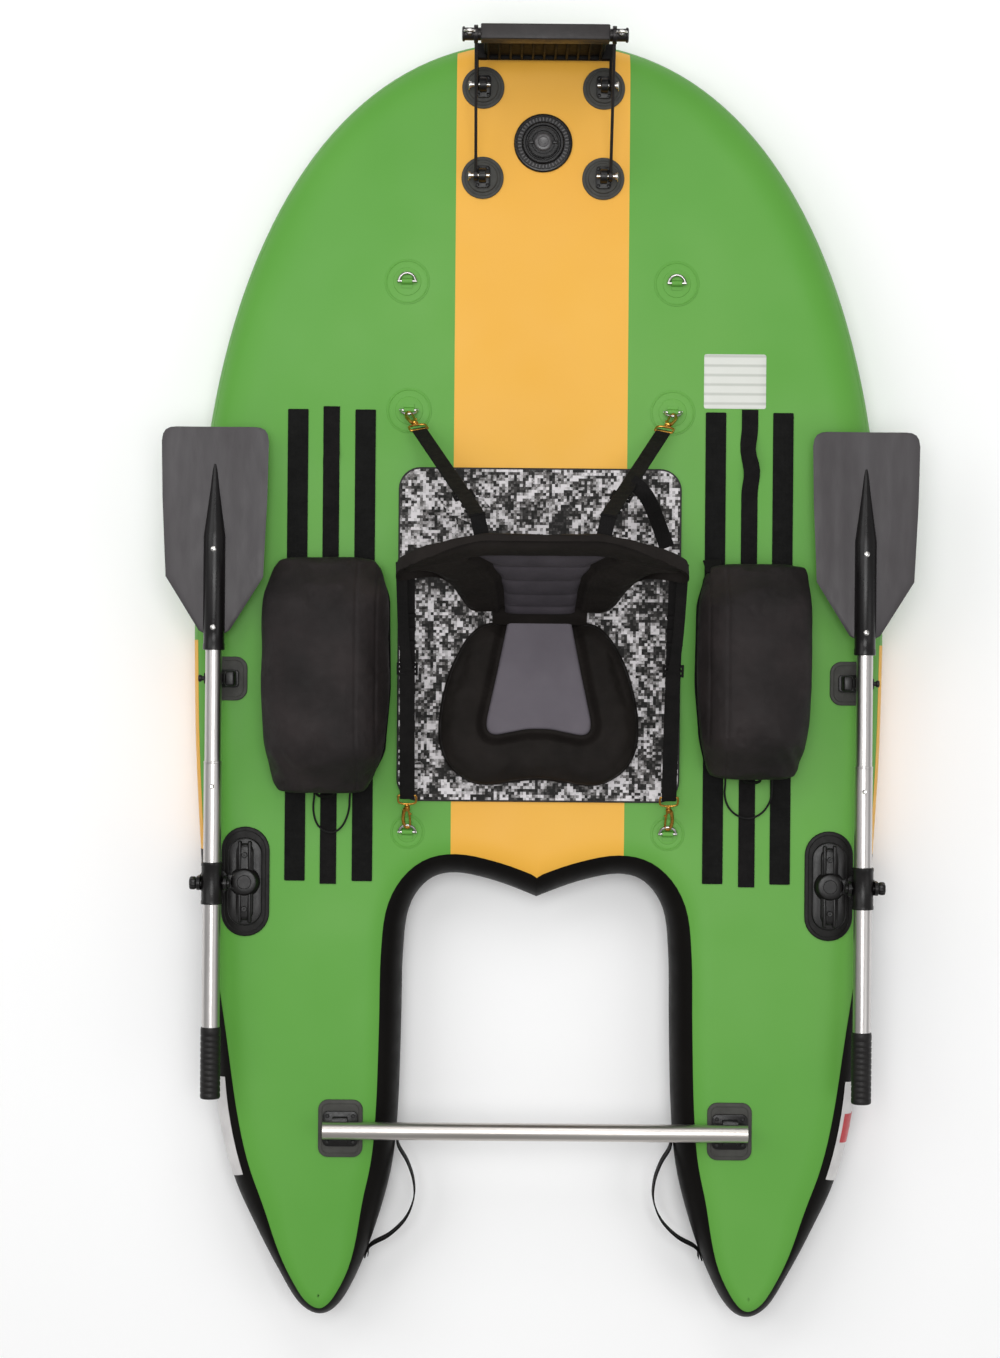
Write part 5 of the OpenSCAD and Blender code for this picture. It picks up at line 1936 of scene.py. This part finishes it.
    def build(self) -> None:
        """Build the oar's pieces on their bodies."""
        label = self.side.label
        body, lock = f"oar_{label}", f"oarlock_{label}"
        shaft = joined([
            self.pipe(*self.upper, self.upper_r, self.upper_r - self.wall),
            self.pipe(*self.lower, self.lower_r, self.upper_r + 0.05),
            turned([(self.upper_r, -3), (self.upper_r + 1.3, -3), (self.upper_r + 1.5, 0),
                    (self.upper_r, 0.4)],
                   (self.x, self.lower[1] + 3, self.z), Axis.Y, 56),
        ])
        made = (
            (shaft, f"oar_tube_{label}", ALUMINIUM_Y, "aluminium", body, f"oar_shaft_{label}"),
            (self.sleeve(), f"oar_sleeve_{label}", NYLON, "bracket_black", body, ""),
            (self.blade(), f"blade_sheet_{label}", BLADE, "blade_grey", body, f"oar_blade_{label}"),
            (self.spine(), f"blade_socket_{label}", BLADE_SPINE, "grip_black", body, ""),
            (self.rivet(), f"blade_rivets_{label}", STAINLESS, "stainless", body, f"oar_rivets_{label}"),
            (self.grip(), f"hand_grip_{label}", GRIP, "grip_black", body, f"oar_grip_{label}"),
            (self.lock(), f"swivel_{label}", NYLON, "bracket_black", lock, lock),
            (self.knob(), f"pin_knob_{label}", NYLON, "bracket_black", f"oar_knob_{label}",
             f"oar_knob_{label}"),
        )
        for bm, name, finish, slot, rides, node in made:
            piece = solid(flipped(bm, self.side), name, finish)
            mount(piece, rides, slot, *([node] if node else []))
        set_finish(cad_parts[f"snap_button_{label}"], STAINLESS)


@dataclass
class Crossbar:
    """Aluminium bar across the leg bay, with a plastic plug in each end."""

    length: float = 722
    radius: float = 15
    wall: float = 1.5
    y: float = -772
    z: float = 175

    def build(self) -> None:
        """Build the bar and its plugs."""
        half, r, inner = self.length / 2, self.radius, self.radius - self.wall
        bar = turned(bush(inner, r, -half, half, 0.5), (0, self.y, self.z), Axis.X)
        mount(solid(bar, "crossbar_tube", ALUMINIUM_X), "crossbar", "aluminium", "crossbar")
        plug = [(0, half - 12), (inner - 0.1, half - 12), (inner - 0.1, half - 0.4), (12, half - 0.4),
                (10.5, half - 2), (0, half - 2)]
        ends = pair(lambda: turned(plug, (0, self.y, self.z), Axis.X, 40))
        mount(solid(ends, "crossbar_plugs", NYLON_GREY_AND_PAINTED_LIT_TOP), "crossbar", "bracket_black")


# ---- seat


@dataclass
class FoamPad:
    """Printed foam pad glued to the deck under the seat, with a dark roll round its edge as painted shadow."""

    width: float = 480
    length: float = 567
    centre_y: float = 72.5
    bottom: float = 150.2
    top: float = 155.6
    corner: float = 36

    def ripple(self, p: Vector) -> Vector:
        """Return the small waves of a pad that has been rolled up and laid flat again."""
        if p.z < self.top - 1.5:
            return Vector()
        wave = noise.noise(Vector((p.x / 90, p.y / 60, 1.7)))
        inside = ramp((self.width / 2 - abs(p.x)) / 30) * ramp((self.length / 2 - abs(p.y - self.centre_y))
                                                               / 30)
        return Vector((0, 0, 1.6 * wave * inside))

    def build(self) -> None:
        """Build the pad and the dark roll round its edge, a painted shadow line."""
        outline = rounded_rect(self.width, self.length, self.corner, (0, self.centre_y))
        bm = cushion_plate(outline, self.bottom, self.top, 1.4, rings=16)
        pad = solid(bm, "deck_foam_pad", CAMO, sharp=50)
        reshape(pad, self.ripple)
        mount(pad, "hull", "camo_foam", "seat_pad")
        # A dark roll round the pad's edge paints the shadow line along it.
        rim = rounded_rect(self.width - 2, self.length - 2, self.corner - 1, (0, self.centre_y))
        edge_shade = tube([p + Vector((0, 0, self.top - 2.2)) for p in rim], 2.4, 10, looped=True)
        mount(solid(edge_shade, "deck_foam_painted_shadow_edge", FOAM_EDGE_PAINTED_SHADOW), "hull", "camo_foam")


@dataclass
class SeatBase:
    """Horseshoe cushion with a grey stretch panel sunk in its middle."""

    bottom: float = 156.6
    top: float = 201
    half: Points = (
        (0, 92), (62, 93), (92, 91), (116, 74), (136, 44), (154, 4), (168, -56), (169, -112), (150, -154),
        (112, -180),
        (74, -183), (40, -178), (0, -174),
    )
    panel_half: Points = (
        (0, 106), (46, 106), (52, 100), (60, 62), (71, 8), (83, -48), (88, -74), (86, -90), (74, -97),
        (48, -93),
        (22, -88), (0, -87),
    )
    draw_in: float = 4.0

    def build(self) -> None:
        """Build the cushion by cloth simulation, carve its channel and lay the panel in it."""
        outline = both_sides(catmull(self.half, 5))
        middle = Vector((0, -50, 0))
        wide = [middle + (p - middle) * (1 + self.draw_in / (p - middle).length) for p in outline]
        bm = extruded(wide, self.bottom, self.top - 6, 11, 4)
        cushion = solid(bm, "seat_base_cushion", SEAT_CLOTH)
        Stuffing(pressure=4.5, cap=8, voxel=5.0).fill(cushion, lambda p: ramp((p.z - self.bottom - 2) / 14))
        soften(cushion, 1)
        self.panel_line = both_sides(catmull(self.panel_half, 5))
        self.near_panel = distance_to(self.panel_line)
        reshape(cushion, self.channel)
        set_finish(cushion, SEAT_CLOTH)
        mount(cushion, "hull", "seat_black", "seat_base")
        panel = cushion_plate(self.panel_line, self.top - 20, self.top - 7.5, 5, rings=9, crown=2.5)
        piece = solid(panel, "seat_base_panel", PANEL_CLOTH, sharp=60)
        mount(piece, "hull", "seat_black")
        for soft in (cushion, piece):
            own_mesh(soft)

    def inside_panel(self, x: float, y: float) -> bool:
        """Tell whether a place lies inside the panel's outline."""
        hit, line = False, self.panel_line
        for p, q in zip(line, line[1:] + line[:1]):
            if (p.y > y) != (q.y > y) and x < (q.x - p.x) * (y - p.y) / (q.y - p.y) + p.x:
                hit = not hit
        return hit

    def channel(self, p: Vector) -> Vector:
        """Return the shift that sinks the middle, cuts the channel round it and crowns the rim."""
        upper = ramp((p.z - self.top + 22) / 10)
        if not upper:
            return Vector()
        d = self.near_panel(p.x, p.y)
        if self.inside_panel(p.x, p.y):
            return Vector((0, 0, -16 * upper))
        wall = ramp((d - 5) / 13)
        crown = 3.0 * sin(pi * min(max((d - 12) / 62, 0), 1))
        seam = 1.6 * exp(-(((d - 15) / 2.4) ** 2))
        wrinkle = 0.7 * noise.noise(Vector((p.x / 26, p.y / 34, 4.1)))
        return Vector((0, 0, upper * (-16 * (1 - wall) + crown - seam + wrinkle)))


@dataclass
class SeatBack:
    """Winged backrest, padded all over, with a grey ribbed panel up its middle."""

    tilt: float = 22
    hinge: Triple = (0, 97, 203)
    thickness: float = 45
    half: Points = (
        (0, 10), (106, 8), (132, 30), (156, 116), (182, 188), (212, 226), (238, 248), (241, 292), (226, 326),
        (150, 342),
        (0, 342),
    )
    seams: tuple[float, ...] = (14, 46, 94, 150, 204, 250)
    panel_widths: Points = ((10, 60), (94, 62), (150, 66), (204, 80), (252, 110))
    wing: float = 35
    top_taper: float = 26
    tip_taper: float = 15
    drop: float = 16

    def matrix(self) -> Matrix:
        """Return the transform from the backrest's own axes: across, up its slope and out of its face."""
        a = radians(self.tilt)
        up, out = Vector((0, sin(a), cos(a))), Vector((0, -cos(a), sin(a)))
        turn = Matrix((ACROSS, up, out)).transposed().to_4x4()
        return Matrix.Translation(self.hinge) @ turn

    def placed(self, bm: Mesh) -> Mesh:
        """Move a mesh from the backrest's own axes to the boat's."""
        bmesh.ops.transform(bm, matrix=self.matrix(), verts=bm.verts)
        return bm

    def panel_width(self, v: float) -> float:
        """Return half of the panel's width at a height up the backrest."""
        return between(self.panel_widths, v, 1.0)

    def shape(self, p: Vector) -> Vector:
        """Return the shift that carves the panel's bed, lifts the wings and rolls the top edge."""
        back = self.inverse @ p
        u, v, w = back
        front = ramp((w + 26) / 14)
        wrinkle = 0.9 * noise.noise(Vector((u / 40, v / 26, 2.2))) + 0.5 * noise.noise(Vector((u / 13,
                                                                                               v / 17, 5.2)))
        bend = self.wing * (max(abs(u) - 84, 0) / 156) ** 1.4
        taper = (1 - front) * (self.top_taper * ramp((v - 110) / 210) + self.tip_taper
                               * ramp((abs(u) - 90) / 130))
        roll = 3.0 * exp(-(((v - 300) / 26) ** 2)) - 2.4 * exp(-(((v - 262) / 5) ** 2))
        shift = front * (roll + wrinkle) + bend + taper
        if 6 < v < 262:
            d = abs(u) - self.panel_width(v)
            low = min(max(v - 6, 0), max(262 - v, 0), 10) / 10
            shift -= front * low * 11 * (1 - ramp((d - 3) / 9))
            shift -= front * 1.5 * exp(-(((d - 16) / 3.0) ** 2))
        drop = self.up * (-self.drop * ramp((v - 230) / 112))
        return self.out * (shift - (1 - front) * 0.4 * wrinkle) + drop

    def ribs(self) -> Mesh:
        """Return the panel: rolls of padding between its cross seams."""
        rows = []
        cols = 22
        low, high = self.seams[0], self.seams[-1]
        steps = 78
        for i in range(steps + 1):
            v = low - 4 + (high - low + 8) * i / steps
            puff = 0.0
            for a, b in zip(self.seams, self.seams[1:]):
                if a <= v <= b:
                    puff = sin(pi * (v - a) / (b - a)) ** 0.55
            half = self.panel_width(v) - 1.5
            row = []
            for k in range(cols + 1):
                u = 1 - 2 * k / cols
                edge = (1 - abs(u) ** 6) ** 0.5
                row.append(Vector((u * half, v, -8.5 + 6.0 * puff * edge + 2.0 * edge)))
            for k in range(1, cols):
                u = 2 * k / cols - 1
                row.append(Vector((u * half, v, -14)))
            rows.append(row)
        return self.placed(loft(rows))

    def build(self) -> None:
        """Build the padded shell by cloth simulation, carve it, and lay the ribbed panel in it."""
        self.inverse = self.matrix().inverted()
        self.out = (self.matrix().to_3x3() @ UP).normalized()
        self.up = (self.matrix().to_3x3() @ AHEAD).normalized()
        outline = both_sides(catmull(self.half, 4))
        middle = Vector((0, 200, 0))
        small = [middle + (p - middle) * (1 - 4 / max((p - middle).length, 60)) for p in outline]
        bm = self.placed(extruded(small, -self.thickness + 6, -6, 12, 4))
        shell_piece = solid(bm, "seat_back_cushion", SEAT_CLOTH)
        Stuffing(pressure=4.0, cap=8, voxel=5.5).fill(shell_piece, lambda p: 1.0)
        soften(shell_piece, 1)
        reshape(shell_piece, self.shape)
        set_finish(shell_piece, SEAT_CLOTH)
        mount(shell_piece, "seat_back", "seat_black", "seat_back")
        panel = solid(self.ribs(), "seat_back_panel", RIB_CLOTH, sharp=60)
        mount(panel, "seat_back", "seat_black")
        for piece in (shell_piece, panel):
            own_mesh(piece)
        self.fabric_hinge()

    def fabric_hinge(self) -> None:
        """Build the cloth that joins the backrest to the cushion."""
        line = [Vector((0, *p)) for p in ((91, 191), (97, 198), (104, 206), (115.6, 217), (127, 239.5))]
        web = solid(band(catmull(line, 4), 160, 3, ACROSS), "seat_fabric_hinge", SEAT_CLOTH)
        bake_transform(web)
        LOG.info("%s bends between hull and seat_back", web.name)


# ---- studio


@dataclass
class Studio:
    """Pale floor, soft light and a camera that looks straight down on the deck."""

    camera_at: Triple = (-0.066, -0.003, 4.65)
    roll: float = 0.0085
    lens: float = 94.9
    sensor: float = 36.0
    floor_size: float = 60.0

    def camera(self) -> None:
        """Create the scene's camera."""
        data = bpy.data.cameras.new("camera")
        data.lens, data.sensor_width, data.sensor_fit = self.lens, self.sensor, "HORIZONTAL"
        camera = bpy.data.objects.new("camera", data)
        camera.location = self.camera_at
        camera.rotation_euler = (0, 0, self.roll)
        bpy.context.collection.objects.link(camera)
        bpy.context.scene.camera = camera

    def floor(self) -> None:
        """Lay the floor under the hull."""
        bm = bmesh.new()
        bmesh.ops.create_grid(bm, x_segments=2, y_segments=2, size=self.floor_size / 2 / MM)
        bmesh.ops.translate(bm, vec=(0, 0, -0.4), verts=bm.verts)
        solid(bm, "studio_floor", FLOOR)

    def lamp(self, name: str, at: Sequence[float], aim: Sequence[float], size: float, power: float) -> None:
        """Hang one square soft box.

        Args:
            name: Name of the light.
            at: Its place in metres.
            aim: The point that it faces.
            size: Length of its side in metres.
            power: Its power in watts.
        """
        data = bpy.data.lights.new(name, "AREA")
        data.size, data.energy = size, power
        light = bpy.data.objects.new(name, data)
        light.location = at
        light.rotation_euler = (Vector(aim) - Vector(at)).to_track_quat("-Z", "Y").to_euler()
        bpy.context.collection.objects.link(light)

    def build(self) -> None:
        """Set up the floor, the lights and how light turns to colour."""
        self.floor()
        world = bpy.data.worlds.new("studio")
        world.use_nodes = True
        sky = world.node_tree.nodes["Background"]
        sky.inputs["Color"].default_value = linear("#ffffff")
        sky.inputs["Strength"].default_value = 0.4
        bpy.context.scene.world = world
        self.lamp("key", (-3.2, 1.6, 3.8), (0, 0.1, 0.1), 3.2, 50)
        self.lamp("bow", (0.1, 3.6, 4.0), (0, 0.2, 0.1), 2.4, 40)
        self.lamp("fill", (3.4, -1.4, 3.6), (0, 0, 0.1), 2.6, 20)
        self.lamp("top", (-0.1, 0.2, 5.6), (0, 0, 0), 2.6, 134)
        bpy.context.scene.view_settings.view_transform = "Standard"


def main() -> None:
    """Build the boat, from the camera and cords to the studio."""
    logging.basicConfig(level=logging.INFO, format="%(name)s: %(message)s")
    studio = Studio()
    studio.camera()
    for cord in DRAW_CORDS:
        cord.build()
    rim = Rim()
    Hull(rim).build()
    Valve().build()
    MotorBracket(rim).build()
    SideStrips().build()
    DeckFittings(rim).build()
    for side in Side:
        Oar(side).build()
    Crossbar().build()
    GrabHandles().build()
    FoamPad().build()
    SeatBase().build()
    SeatBack().build()
    SeatRigging(rim).build()
    Bag(Side.LEFT, -360, 218, -196, 198).build()
    Bag(Side.RIGHT, 361, 194, -167, 192).build()
    studio.build()


if __name__ == "__main__":
    main()
